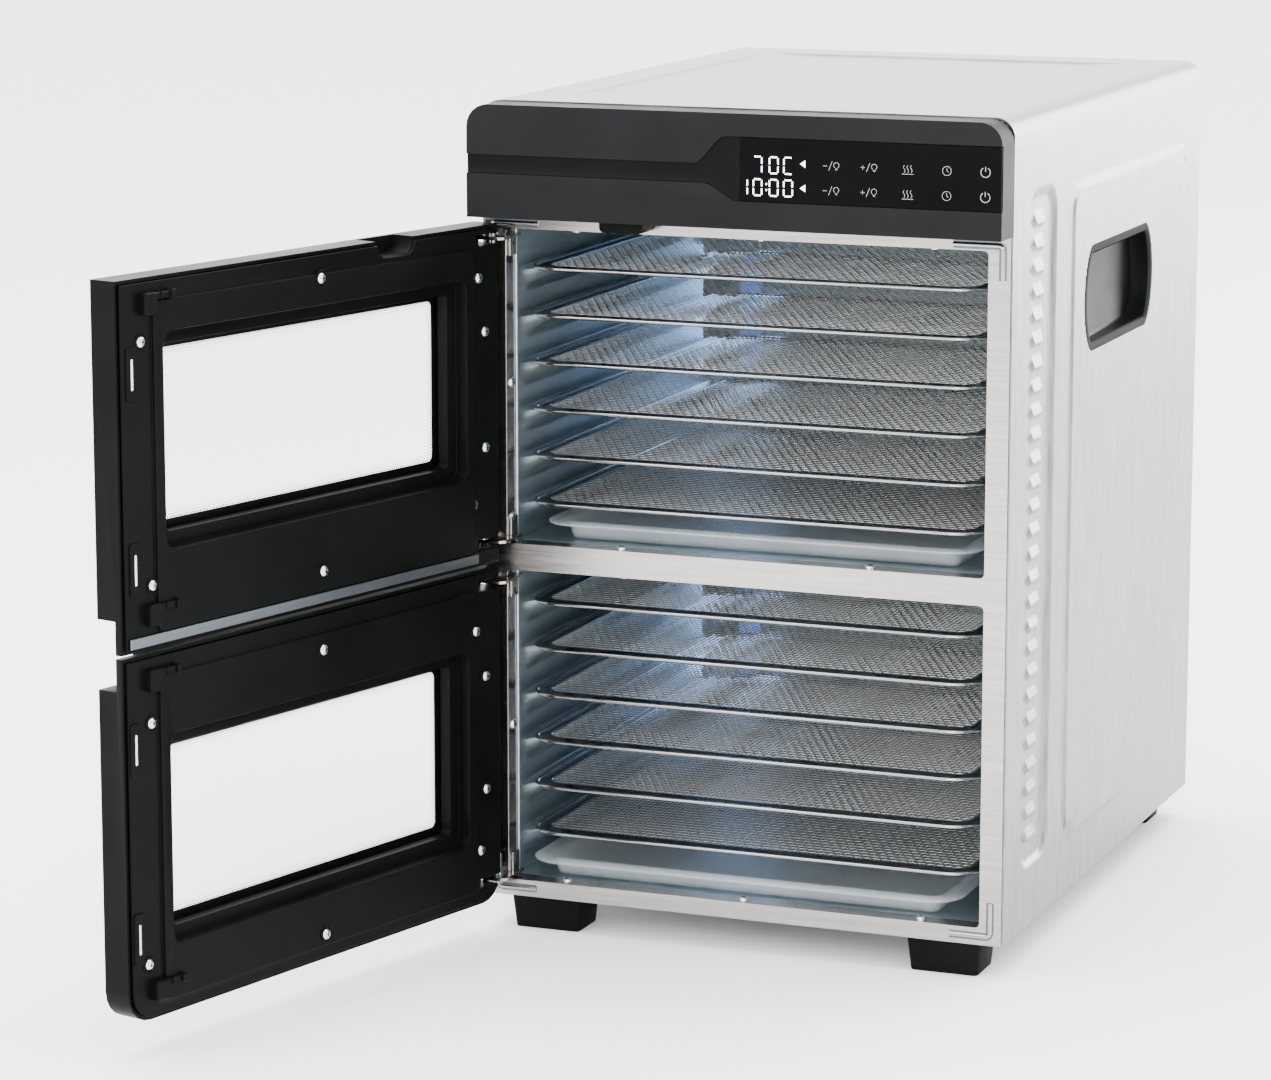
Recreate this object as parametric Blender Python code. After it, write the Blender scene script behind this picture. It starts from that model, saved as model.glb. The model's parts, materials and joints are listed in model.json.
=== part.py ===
"""A countertop food dehydrator with two drying chambers.

A folded stainless wrap covers two pressed-steel chambers, one above the other.
Each chamber has its own door, six mesh trays, a drip tray, a fan, a heater and a lamp.
Units are metres. X is to the right seen from the front, Y to the back and Z up.
The origin is the middle of the cabinet's flat underside; the feet stand below it.
Everything is placed from the front plane, the outer face of the steel front frame.
"""
import math

import bmesh
import bpy
from mathutils import Matrix, Vector

# Driving dimensions
WIDTH = 0.345
DEPTH = 0.444
HEIGHT = 0.510            # the cabinet without its feet
FOOT_HEIGHT = 0.0217
FOOT_LENGTH = 0.048
FOOT_DEPTH = 0.036
FOOT_OUTER = 0.157        # a foot's outer end, from the middle
FOOT_SEAT = 0.0006        # how far the base pan is pressed up over each foot
SHEET = 0.001             # outer sheet steel
PAN_SHEET = 0.0012        # base pan
GAP = 0.0003              # left between parts that touch
FRONT = -DEPTH / 2        # the front frame's outer face
TOP_RADIUS = 0.012        # bend of the wrap along its two top edges

OPENING_HALF = 0.157      # the chamber mouths, to each side of the middle
UPPER_MOUTH = (0.2300, 0.4298)
LOWER_MOUTH = (0.0110, 0.2128)
MOUTH_CORNER = 0.003
FLANGE_DEPTH = 0.014      # the frame's rim turned into each chamber
BAFFLE_AT = 0.370         # the rear baffle, behind the front plane
REAR_AT = 0.4415          # the rear panel's inner face, behind the front plane

TRAY_COUNT = 6
TRAY_PITCH = 0.030
TRAY_HALF = 0.151
TRAY_FRONT = 0.012
TRAY_DEPTH = 0.353
TRAY_THICK = 0.0024
TRAY_CORNER = 0.022
UPPER_TRAY_TOP = 0.4048   # top of the highest tray in each chamber
LOWER_TRAY_TOP = 0.1908
DRIP_HALF = 0.144
DRIP_DEPTH = 0.340
DRIP_HEIGHT = 0.0123
DRIP_RIM = 0.013

FASCIA_DEPTH = 0.025
FASCIA_BOTTOM = 0.439
FASCIA_FACE = 0.0045      # wall thickness behind the fascia's face
FASCIA_TOP = 0.5092

DOOR_INNER = -0.003       # the door's rim when it is closed, from the front plane
DOOR_OUTER = -0.0233
DOOR_WALL = 0.0022
SHELL_INNER = -0.005      # where the door's shell ends, from the front plane
FIELD_INNER = -0.0010     # the liner's raised field
FINGER_NOTCH = 0.0225     # height of the notch at each door's free corner
UPPER_DOOR = (0.2195, 0.4340)
LOWER_DOOR = (0.0010, 0.2175)
HINGE_X = -0.1675
HINGE_Y = -0.013          # from the front plane
DOOR_OPEN = math.radians(105)
WINDOW_HALF = (0.128, 0.054)
WINDOW_MIDDLE = {"upper": 0.3390, "lower": 0.1050}
GLASS_MARGIN = (0.020, 0.018)  # how far the pane's seat runs past the window
GLASS_THICK = 0.0027
GLASS_SEAT = 0.0030            # depth of the seat in the shell's outer face
BEYOND = 0.010                 # how far a cutter runs past what it cuts

FAN_HEIGHTS = {"upper": 0.330, "lower": 0.112}
FAN_AT = 0.376            # the fan wheel's front face, behind the front plane
FAN_DEPTH = 0.014
BLADES = 5
FAN_SHAFT = 0.0030
SHAFT_CLEAR = 0.0004      # round the shaft in the motor's bearing

# Colours as linear red, green and blue, then roughness and metallic value
FINISHES = {
    "brushed_stainless": ((0.56, 0.56, 0.57), 0.32, 1.0),
    "frame_stainless": ((0.60, 0.58, 0.56), 0.25, 1.0),
    "chamber_steel": ((0.42, 0.47, 0.50), 0.35, 1.0),
    "galvanised_steel": ((0.45, 0.46, 0.47), 0.45, 1.0),
    "tray_steel": ((0.62, 0.62, 0.61), 0.22, 1.0),
    "satin_black": ((0.012, 0.012, 0.013), 0.42, 0.0),
    "charcoal_plastic": ((0.040, 0.040, 0.042), 0.45, 0.0),
    "gloss_black": ((0.010, 0.010, 0.011), 0.08, 0.0),
    "handle_grey": ((0.055, 0.057, 0.060), 0.50, 0.0),
    "foot_black": ((0.010, 0.010, 0.010), 0.60, 0.0),
    "window_glass": ((0.85, 0.90, 0.90), 0.03, 0.0),
    "clear_plastic": ((0.48, 0.54, 0.56), 0.30, 0.0),
    "lamp_lens": ((0.70, 0.80, 0.95), 0.25, 0.0),
    "board_green": ((0.020, 0.110, 0.040), 0.50, 0.0),
    "motor_metal": ((0.30, 0.30, 0.31), 0.40, 1.0),
    "heater_sheath": ((0.16, 0.14, 0.12), 0.45, 1.0),
}


def empty_the_scene():
    for item in list(bpy.data.objects):
        bpy.data.objects.remove(item, do_unlink=True)


def new_collection(name):
    group = bpy.data.collections.new(name)
    bpy.context.scene.collection.children.link(group)
    return group


def make_materials():
    made = {}
    for name, (colour, roughness, metallic) in FINISHES.items():
        material = bpy.data.materials.new(name)
        material.use_nodes = True
        shader = material.node_tree.nodes["Principled BSDF"]
        shader.inputs["Base Color"].default_value = (*colour, 1)
        shader.inputs["Roughness"].default_value = roughness
        shader.inputs["Metallic"].default_value = metallic
        made[name] = material
    return made


empty_the_scene()
PARTS = new_collection("food_dehydrator")
CUTTERS = new_collection("cutters")
MATERIALS = make_materials()


def place(name, mesh, middle, finish, pivot=None):
    """Add a mesh as an object, as a part if it has a finish and as a cutter if not."""
    item = bpy.data.objects.new(name, mesh)
    if finish:
        mesh.materials.append(MATERIALS[finish])
        PARTS.objects.link(item)
    else:
        item.hide_render = True
        item.display_type = "WIRE"
        CUTTERS.objects.link(item)
    item.location = middle
    if pivot:
        item.parent = pivot
        item.location = Vector(middle) - pivot.location
    return item


def slab(name, low, high, finish=None, radius=0, axis=2, keep=None, segments=4, pivot=None):
    """A block between two corners. Its edges along axis are rounded, or only those keep picks."""
    low, high = Vector(low), Vector(high)
    size, middle = high - low, (high + low) / 2
    shape = bmesh.new()
    bmesh.ops.create_cube(shape, size=1)
    bmesh.ops.scale(shape, vec=size, verts=shape.verts)
    if radius:
        across = [n for n in range(3) if n != axis]
        edges = []
        for edge in shape.edges:
            a, b = (v.co for v in edge.verts)
            along = all(abs(a[n] - b[n]) < 1e-6 for n in across)
            if along and (keep is None or keep(a)):
                edges.append(edge)
        bmesh.ops.bevel(shape, geom=edges, offset=radius, segments=segments, profile=0.5, affect="EDGES")
    mesh = bpy.data.meshes.new(name)
    shape.to_mesh(mesh)
    shape.free()
    return place(name, mesh, middle, finish, pivot)


def rod(name, start, end, radius, finish=None, sides=24, tip=None, pivot=None):
    """A cylinder, or a cone where tip gives the end's radius, from one point to another."""
    start, end = Vector(start), Vector(end)
    shape = bmesh.new()
    bmesh.ops.create_cone(
        shape, cap_ends=True, segments=sides, radius1=radius,
        radius2=radius if tip is None else tip, depth=(end - start).length,
    )
    turn = Vector((0, 0, 1)).rotation_difference(end - start)
    bmesh.ops.transform(shape, matrix=turn.to_matrix().to_4x4(), verts=shape.verts)
    mesh = bpy.data.meshes.new(name)
    shape.to_mesh(mesh)
    shape.free()
    mesh.shade_smooth()
    mesh.set_sharp_from_angle(angle=math.radians(35))
    return place(name, mesh, (start + end) / 2, finish, pivot)


def outline(name, points, low, high, finish=None, turn=None, pivot=None):
    """A flat outline given a thickness from low to high along its normal.

    The outline's own x and y are X and Y, or X and Z when turn is "front".
    """
    curve = bpy.data.curves.new(name, "CURVE")
    curve.dimensions = "2D"
    curve.fill_mode = "BOTH"
    curve.extrude = (high - low) / 2
    spline = curve.splines.new("POLY")
    spline.points.add(len(points) - 1)
    for point, (x, y) in zip(spline.points, points):
        point.co = (x, y, 0, 1)
    spline.use_cyclic_u = True
    drawn = bpy.data.objects.new(name + "_outline", curve)
    CUTTERS.objects.link(drawn)
    view = bpy.context.evaluated_depsgraph_get()
    mesh = bpy.data.meshes.new_from_object(drawn.evaluated_get(view))
    bpy.data.objects.remove(drawn, do_unlink=True)
    shape = bmesh.new()
    shape.from_mesh(mesh)
    bmesh.ops.remove_doubles(shape, verts=shape.verts, dist=1e-6)
    middle = Vector((0, 0, (low + high) / 2))
    if turn == "front":
        bmesh.ops.rotate(shape, cent=(0, 0, 0), matrix=Matrix.Rotation(math.pi / 2, 3, "X"), verts=shape.verts)
        middle = Vector((0, (low + high) / 2, 0))
    bmesh.ops.recalc_face_normals(shape, faces=shape.faces)
    shape.to_mesh(mesh)
    shape.free()
    return place(name, mesh, middle, finish, pivot)


def combine(target, operation, tools):
    for tool in tools:
        modifier = target.modifiers.new(tool.name, "BOOLEAN")
        modifier.operation = operation
        modifier.solver = "EXACT"
        modifier.object = tool
    return target


def cut(target, *tools):
    return combine(target, "DIFFERENCE", tools)


def fuse(target, *tools):
    return combine(target, "UNION", tools)


def axis_empty(name, location):
    marker = bpy.data.objects.new(name, None)
    marker.location = location
    PARTS.objects.link(marker)
    return marker


# Cabinet

HANDLE_Y = (0.159, 0.312)      # behind the front plane
HANDLE_Z = (0.3515, 0.4100)
HANDLE_CUP = 0.0125            # depth of the finger pocket
HANDLE_FLANGE = 0.003
HANDLE_CORNER = 0.018


def handle_hole(side):
    grow = 0.0023
    inner, outer = 0.165, 0.180
    xs = sorted((side * inner, side * outer))
    return slab(
        f"handle_hole_{'right' if side > 0 else 'left'}",
        (xs[0], FRONT + HANDLE_Y[0] - grow, HANDLE_Z[0] - grow),
        (xs[1], FRONT + HANDLE_Y[1] + grow, HANDLE_Z[1] + grow),
        radius=HANDLE_CORNER + grow, axis=0,
    )


def outer_wrap():
    """One sheet folded over the sides and the top."""
    def top_edge(point):
        return point.z > 0
    front, back = FRONT + GAP, FRONT + DEPTH
    wrap = slab(
        "outer_wrap", (-WIDTH / 2, front, 0), (WIDTH / 2, back, HEIGHT),
        "brushed_stainless", TOP_RADIUS, 1, top_edge, 6,
    )
    inside = slab(
        "wrap_inside", (-WIDTH / 2 + SHEET, front - BEYOND, -0.3), (WIDTH / 2 - SHEET, back + BEYOND, HEIGHT - SHEET),
        None, TOP_RADIUS - SHEET, 1, top_edge, 6,
    )
    return cut(wrap, inside, handle_hole(1), handle_hole(-1))


def foot_places():
    """Each foot's name and its lowest X and Y."""
    for end, y in (("front", FRONT + 0.003), ("rear", FRONT + DEPTH - 0.005 - FOOT_DEPTH)):
        for side, x in (("left", -FOOT_OUTER), ("right", FOOT_OUTER - FOOT_LENGTH)):
            yield f"{end}_{side}_foot", x, y


def base_pan():
    """The flat floor of the cabinet, pressed up at its four corners where the feet sit."""
    half, front, back = WIDTH / 2 - SHEET - GAP, FRONT + 0.0025, FRONT + REAR_AT - GAP
    pan = slab("base_pan", (-half, front, 0), (half, back, PAN_SHEET), "galvanised_steel")
    margin = 0.0006
    corners = []
    for name, x, y in foot_places():
        low = [x - margin, y - margin, -BEYOND]
        high = [x + FOOT_LENGTH + margin, y + FOOT_DEPTH + margin, FOOT_SEAT]
        if x < 0:
            low[0] = -half - BEYOND
        else:
            high[0] = half + BEYOND
        if name.startswith("front"):
            low[1] = front - BEYOND
        else:
            high[1] = back + BEYOND
        corners.append(slab(f"{name}_seat", low, high))
    return cut(pan, *corners)


def rear_panel():
    half = WIDTH / 2 - SHEET - GAP
    panel = slab(
        "rear_panel", (-half, FRONT + REAR_AT, 0.0002), (half, FRONT + REAR_AT + SHEET, HEIGHT - SHEET - GAP),
        "galvanised_steel", TOP_RADIUS - SHEET, 1, lambda point: point.z > 0, 4,
    )
    slots = []
    for chamber, height in FAN_HEIGHTS.items():
        for row in range(-3, 4):
            z = height + row * 0.014
            slots.append(slab(
                f"{chamber}_vent_{row + 4}", (-0.045, FRONT + REAR_AT - BEYOND, z - 0.0025),
                (0.045, FRONT + REAR_AT + BEYOND, z + 0.0025),
            ))
    return cut(panel, *slots)


def front_frame():
    """The flat stainless face with two mouths, and a rim turned back round each one."""
    half = WIDTH / 2 - SHEET - GAP
    face = slab(
        "front_frame", (-half, FRONT, 0.0002), (half, FRONT + 0.0012, HEIGHT - SHEET - GAP),
        "frame_stainless", TOP_RADIUS - SHEET, 1, lambda point: point.z > 0, 4,
    )
    rims, mouths = [], []
    for name, (low, high) in (("upper", UPPER_MOUTH), ("lower", LOWER_MOUTH)):
        grow = 0.0008
        rims.append(slab(
            f"{name}_rim", (-OPENING_HALF - grow, FRONT + 0.0006, low - grow),
            (OPENING_HALF + grow, FRONT + FLANGE_DEPTH, high + grow), None, MOUTH_CORNER + grow, 1, None, 3,
        ))
        mouths.append(slab(
            f"{name}_mouth", (-OPENING_HALF, FRONT - BEYOND, low), (OPENING_HALF, FRONT + FLANGE_DEPTH + BEYOND, high),
            None, MOUTH_CORNER, 1, None, 3,
        ))
    fuse(face, *rims)
    return cut(face, *mouths)


def chamber_wall(chamber, side, mouth, tray_top):
    """A pressed side wall. Its profile steps inward below each tray to carry the tray's edge."""
    sheet, reach, drop = 0.001, 0.011, 0.009
    low, high = mouth[0] + 0.0004, mouth[1] - 0.0004
    profile = [(0, high), (sheet, high), (sheet, low), (0, low)]
    inner = []
    for number in reversed(range(TRAY_COUNT)):
        shelf = tray_top - number * TRAY_PITCH - TRAY_THICK - GAP
        inner += [(0, shelf - drop), (-reach, shelf - 0.0025), (-reach, shelf), (0, shelf)]
    profile = profile + inner
    points = [(side * (OPENING_HALF + x), z) for x, z in profile]
    name = f"{chamber}_{'right' if side > 0 else 'left'}_wall"
    return outline(
        name, points, FRONT + FLANGE_DEPTH + GAP, FRONT + BAFFLE_AT - GAP, "chamber_steel", "front",
    )


def chamber_panels(chamber, mouth):
    half = OPENING_HALF - GAP
    front, back = FRONT + FLANGE_DEPTH + GAP, FRONT + BAFFLE_AT - GAP
    slab(f"{chamber}_ceiling", (-half, front, mouth[1]), (half, back, mouth[1] + SHEET), "chamber_steel")
    slab(f"{chamber}_floor", (-half, front, mouth[0] - SHEET), (half, back, mouth[0]), "chamber_steel")
    slab(
        f"{chamber}_baffle", (-half, FRONT + BAFFLE_AT, mouth[0] - SHEET),
        (half, FRONT + BAFFLE_AT + SHEET, mouth[1] + SHEET), "chamber_steel",
    )


def lamp(chamber, mouth):
    slab(
        f"{chamber}_lamp", (-0.135, FRONT + BAFFLE_AT - 0.0045, mouth[0] + 0.060),
        (-0.121, FRONT + BAFFLE_AT - GAP, mouth[0] + 0.140), "lamp_lens", 0.002, 1, None, 2,
    )


def fan(chamber, height):
    """Hub, shaft and five blades as one moulding, turning about a line along Y."""
    at = FRONT + FAN_AT
    centre = Vector((0, at + FAN_DEPTH / 2, height))
    wheel = rod(f"{chamber}_fan", (0, at, height), (0, at + FAN_DEPTH, height), 0.014, "motor_metal", 20)
    blades = []
    for number in range(BLADES):
        blade = slab(f"{chamber}_blade_{number}", (-0.0125, -0.0007, 0.010), (0.0125, 0.0007, 0.050))
        spin = Matrix.Rotation(number * math.tau / BLADES, 4, "Y")
        pitch = Matrix.Rotation(math.radians(24), 4, "Z")
        blade.data.transform(spin @ Matrix.Translation((0, 0, 0.030)) @ pitch)
        blade.location = centre
        blades.append(blade)
    shaft = rod(f"{chamber}_shaft", (0, at + 0.010, height), (0, at + 0.030, height), FAN_SHAFT, None, 12)
    return fuse(wheel, shaft, *blades)


def fan_motor(chamber, height):
    start, end = FRONT + 0.3945, FRONT + REAR_AT - GAP
    motor = rod(f"{chamber}_fan_motor", (0, start, height), (0, end, height), 0.022, "motor_metal", 24)
    bearing = rod(f"{chamber}_bearing", (0, start - 0.01, height), (0, start + 0.014, height), FAN_SHAFT + SHAFT_CLEAR, None, 16)
    return cut(motor, bearing)


def heater(chamber, height):
    """A sheathed heating ring round the fan, on two legs that reach the rear panel."""
    ring_radius, sheath, at = 0.064, 0.0035, FRONT + 0.383
    bpy.ops.mesh.primitive_torus_add(
        major_radius=ring_radius, minor_radius=sheath, major_segments=28, minor_segments=8,
        rotation=(math.pi / 2, 0, 0),
    )
    made = bpy.context.object
    mesh = made.data.copy()
    mesh.transform(made.matrix_basis)
    bpy.data.objects.remove(made, do_unlink=True)
    mesh.shade_smooth()
    ring = place(f"{chamber}_heater", mesh, (0, at, height), "heater_sheath")
    legs = []
    for side in (-1, 1):
        x = side * ring_radius * math.sin(math.radians(20))
        z = height - ring_radius * math.cos(math.radians(20))
        legs.append(rod(
            f"{chamber}_leg_{side}", (x, at, z), (x, FRONT + REAR_AT - GAP, z), sheath * 0.85, None, 8,
        ))
    return fuse(ring, *legs)


def handle(side):
    """A moulded finger cup: a bezel outside the wrap and a pocket behind it."""
    name = f"{'right' if side > 0 else 'left'}_handle"
    wall = 0.002
    face = WIDTH / 2

    def block(label, inner, outer, grow, corner, finish=None):
        xs = sorted((side * inner, side * outer))
        return slab(
            label, (xs[0], FRONT + HANDLE_Y[0] - grow, HANDLE_Z[0] - grow),
            (xs[1], FRONT + HANDLE_Y[1] + grow, HANDLE_Z[1] + grow), finish, corner, 0,
        )
    bezel = block(name, face + GAP, face + 0.0018, HANDLE_FLANGE + wall, HANDLE_CORNER + HANDLE_FLANGE + wall,
                  "handle_grey")
    cup = block(f"{name}_cup", face - HANDLE_CUP, face + 0.001, wall, HANDLE_CORNER + wall)
    pocket = block(f"{name}_pocket", face - HANDLE_CUP + wall, face + 0.01, 0, HANDLE_CORNER)
    fuse(bezel, cup)
    return cut(bezel, pocket)


def feet():
    """Four moulded feet that taper a little towards the floor."""
    taper = 0.0022
    for name, x, y in foot_places():
        foot = slab(
            name, (x, y, -FOOT_HEIGHT), (x + FOOT_LENGTH, y + FOOT_DEPTH, FOOT_SEAT - GAP), "foot_black",
            0.003, 2, None, 2,
        )
        shape = bmesh.new()
        shape.from_mesh(foot.data)
        lower = [v for v in shape.verts if v.co.z < 0]
        bmesh.ops.scale(shape, vec=(1 - taper / FOOT_LENGTH * 2, 1 - taper / FOOT_DEPTH * 2, 1), verts=lower)
        shape.to_mesh(foot.data)
        shape.free()


def cord_gland():
    """The strain relief in the rear panel that the mains lead would leave by."""
    y = FRONT + REAR_AT + SHEET + GAP
    gland = rod("cord_gland", (0.130, y, 0.035), (0.130, y + 0.007, 0.035), 0.010, "satin_black", 20, 0.008)
    throat = rod("gland_throat", (0.130, y + 0.002, 0.035), (0.130, y + 0.02, 0.035), 0.0037, None, 16)
    return cut(gland, throat)


# Controls

BAND = (0.4665, 0.4783)        # the groove across the left of the fascia
PANEL = (0.4560, 0.4953)       # the touch panel at its right
BEND_LOW = (-0.0162, 0.0066)   # where the groove widens into the panel, bottom and top edges
BEND_HIGH = (-0.0227, -0.0019)


def smooth_step(start, end, count=7):
    """Points of an S-shaped rise between two levels."""
    for number in range(count):
        share = number / (count - 1)
        rise = share * share * (3 - 2 * share)
        yield start[0] + (end[0] - start[0]) * share, start[1] + (end[1] - start[1]) * rise


def fascia():
    shell = slab(
        "fascia", (-WIDTH / 2, FRONT - FASCIA_DEPTH, FASCIA_BOTTOM), (WIDTH / 2, FRONT - GAP, FASCIA_TOP),
        "charcoal_plastic", 0.014, 1, lambda point: point.z > 0, 6,
    )
    wall = 0.003
    hollow = slab(
        "fascia_hollow", (-WIDTH / 2 + wall, FRONT - FASCIA_DEPTH + FASCIA_FACE, FASCIA_BOTTOM + wall),
        (WIDTH / 2 - wall, FRONT + BEYOND, FASCIA_TOP - wall), None, 0.011, 1, lambda point: point.z > 0, 6,
    )
    left, right = -0.180, 0.180
    edge = [(left, BAND[0])]
    edge += list(smooth_step((BEND_LOW[0], BAND[0]), (BEND_LOW[1], PANEL[0])))
    edge += [(right, PANEL[0]), (right, PANEL[1])]
    edge += list(smooth_step((BEND_HIGH[1], PANEL[1]), (BEND_HIGH[0], BAND[1])))
    edge += [(left, BAND[1])]
    recess = outline("fascia_recess", edge, FRONT - FASCIA_DEPTH - 0.01, FRONT - FASCIA_DEPTH + 0.0018, None, "front")
    return cut(shell, hollow, recess)


def touch_panel():
    inset = 0.0004
    start = 0.0075
    right = WIDTH / 2 - inset
    edge = [(start, PANEL[0] + inset), (right, PANEL[0] + inset), (right, PANEL[1] - inset), (start, PANEL[1] - inset)]
    face = FRONT - FASCIA_DEPTH
    return outline("touch_panel", edge, face + 0.0002, face + 0.0015, "gloss_black", "front")


def control_boards():
    inside = FRONT - FASCIA_DEPTH + FASCIA_FACE
    slab("display_module", (0.012, inside + GAP, 0.461), (0.062, inside + 0.006, 0.491), "gloss_black")
    slab("control_board", (-0.020, inside + 0.0063, 0.446), (0.160, inside + 0.0079, 0.500), "board_green")
    slab("power_board", (-0.070, FRONT + 0.160, 0.4320), (0.070, FRONT + 0.270, 0.4336), "board_green")


def door_switch_housing():
    """The moulding under the fascia that holds the door switch; the upper door is notched for it."""
    return slab(
        "door_switch_housing", (-0.0867, FRONT - 0.0190, 0.4322), (-0.0580, FRONT - 0.0006, FASCIA_BOTTOM - GAP),
        "satin_black", 0.003, 1, lambda point: point.z < 0, 3,
    )


# Doors

HINGES = {
    # strap's underside, the direction its pin points, and the mouth edge it sits at
    "upper_top": (0.4240, 1, "upper"),
    "upper_bottom": (0.2322, -1, "upper"),
    "lower_top": (0.2062, 1, "lower"),
    "lower_bottom": (0.0132, -1, "lower"),
}
STRAP = 0.002
PIN_RADIUS = 0.0020
PIN_LENGTH = 0.0070
SLOT_CLEAR = 0.0025            # room above and below a strap in the door's corner


def hinge_bracket(label):
    """A steel strap from inside the mouth to the hinge axis, with a pin and a tab for its screw."""
    low, up, _ = HINGES[label]
    x, y = HINGE_X, FRONT + HINGE_Y
    inner = -OPENING_HALF + GAP
    right = inner + 0.0047
    back = FRONT + 0.0135
    arc = [
        (x + 0.0040 * math.cos(math.radians(turn)), y + 0.0040 * math.sin(math.radians(turn)))
        for turn in range(90, 271, 30)
    ]
    points = arc + [(right - 0.003, y - 0.0040), (right, y - 0.001), (right, back), (inner, back), (inner, y + 0.0040)]
    name = f"hinge_{label}"
    strap = outline(name, points, low, low + STRAP, "frame_stainless")
    if up > 0:
        pin_ends, tab = (low + STRAP / 2, low + STRAP + PIN_LENGTH), (low - 0.012, low + STRAP / 2)
    else:
        pin_ends, tab = (low - PIN_LENGTH, low + STRAP / 2), (low + STRAP / 2, low + 0.014)
    pin = rod(f"{name}_pin", (x, y, pin_ends[0]), (x, y, pin_ends[1]), PIN_RADIUS, None, 12)
    plate = slab(f"{name}_tab", (inner, FRONT + 0.0035, tab[0]), (inner + 0.0013, back, tab[1]))
    return fuse(strap, pin, plate)


def hinge_slots(door, pivot):
    """Room in a door's hinge corners for the straps, open at its inner face and its hinge edge."""
    tools = []
    for label, (low, up, chamber) in HINGES.items():
        if chamber != door:
            continue
        slot = slab(
            f"{label}_slot", (-0.180, FRONT - 0.0195, low - SLOT_CLEAR),
            (-0.1492, FRONT + 0.010, low + STRAP + SLOT_CLEAR), pivot=pivot,
        )
        x, y = HINGE_X, FRONT + HINGE_Y
        ends = (low, low + STRAP + PIN_LENGTH + 0.0004) if up > 0 else (low - PIN_LENGTH - 0.0004, low + STRAP)
        tools += [slot, rod(f"{label}_bore", (x, y, ends[0]), (x, y, ends[1]), 0.0024, None, 16, pivot=pivot)]
    return tools


def door_shell(door, span, pivot):
    """The outer moulding: a shallow box, solid along the hinge and round the finger notch."""
    low, high = span
    bottom_round = (lambda point: point.z < 0) if door == "lower" else (lambda point: False)
    shell = slab(
        f"{door}_door_shell", (-WIDTH / 2, FRONT + DOOR_OUTER, low), (WIDTH / 2, FRONT + SHELL_INNER, high), "satin_black",
        0.018, 1, bottom_round, 5, pivot,
    )
    inside = slab(
        f"{door}_door_hollow", (-0.1475, FRONT + DOOR_OUTER + 0.0052, low + DOOR_WALL),
        (WIDTH / 2 - DOOR_WALL, FRONT + BEYOND, high - DOOR_WALL), None, 0.0158, 1,
        (lambda point: point.z < 0 < point.x) if door == "lower" else (lambda point: False), 5, pivot,
    )
    notch_low, notch_high = (low, low + FINGER_NOTCH) if door == "upper" else (high - FINGER_NOTCH, high)
    block = slab(
        f"{door}_notch_block", (0.1410, FRONT + DOOR_OUTER + 0.004, notch_low + 0.0001),
        (WIDTH / 2 - 0.001, FRONT + SHELL_INNER - 0.0002, notch_high - 0.0001), pivot=pivot,
    )
    notch = slab(
        f"{door}_finger_notch", (0.1440, FRONT - 0.040, notch_low - (0.020 if door == "upper" else -0.003)),
        (0.200, FRONT - 0.0095, notch_high + (0.020 if door == "lower" else -0.003)), None, 0.003, 1, None, 3, pivot,
    )
    middle = WINDOW_MIDDLE[door]
    half_x, half_z = WINDOW_HALF
    seat = slab(
        f"{door}_glass_seat", (-half_x - GLASS_MARGIN[0], FRONT - 0.040, middle - half_z - GLASS_MARGIN[1]),
        (half_x + GLASS_MARGIN[0], FRONT + DOOR_OUTER + GLASS_SEAT, middle + half_z + GLASS_MARGIN[1]), None, 0.008, 1, None, 4, pivot,
    )
    window = slab(
        f"{door}_window", (-half_x - 0.004, FRONT - 0.040, middle - half_z - 0.004),
        (half_x + 0.004, FRONT + BEYOND, middle + half_z + 0.004), None, 0.006, 1, None, 4, pivot,
    )
    cut(shell, inside)
    fuse(shell, block)
    tools = [notch, seat, window] + hinge_slots(door, pivot)
    if door == "upper":
        switch_block = slab(
            "switch_block", (-0.0930, FRONT + DOOR_OUTER + 0.004, high - 0.0135),
            (-0.0520, FRONT + SHELL_INNER - 0.0002, high - 0.0001), pivot=pivot,
        )
        fuse(shell, switch_block)
        tools.append(slab(
            "switch_notch", (-0.0900, FRONT - 0.0205, high - 0.0105), (-0.0550, FRONT + BEYOND, high + 0.01), None,
            0.008, 1, lambda point: point.z < 0, 4, pivot,
        ))
    return cut(shell, *tools)


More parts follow.
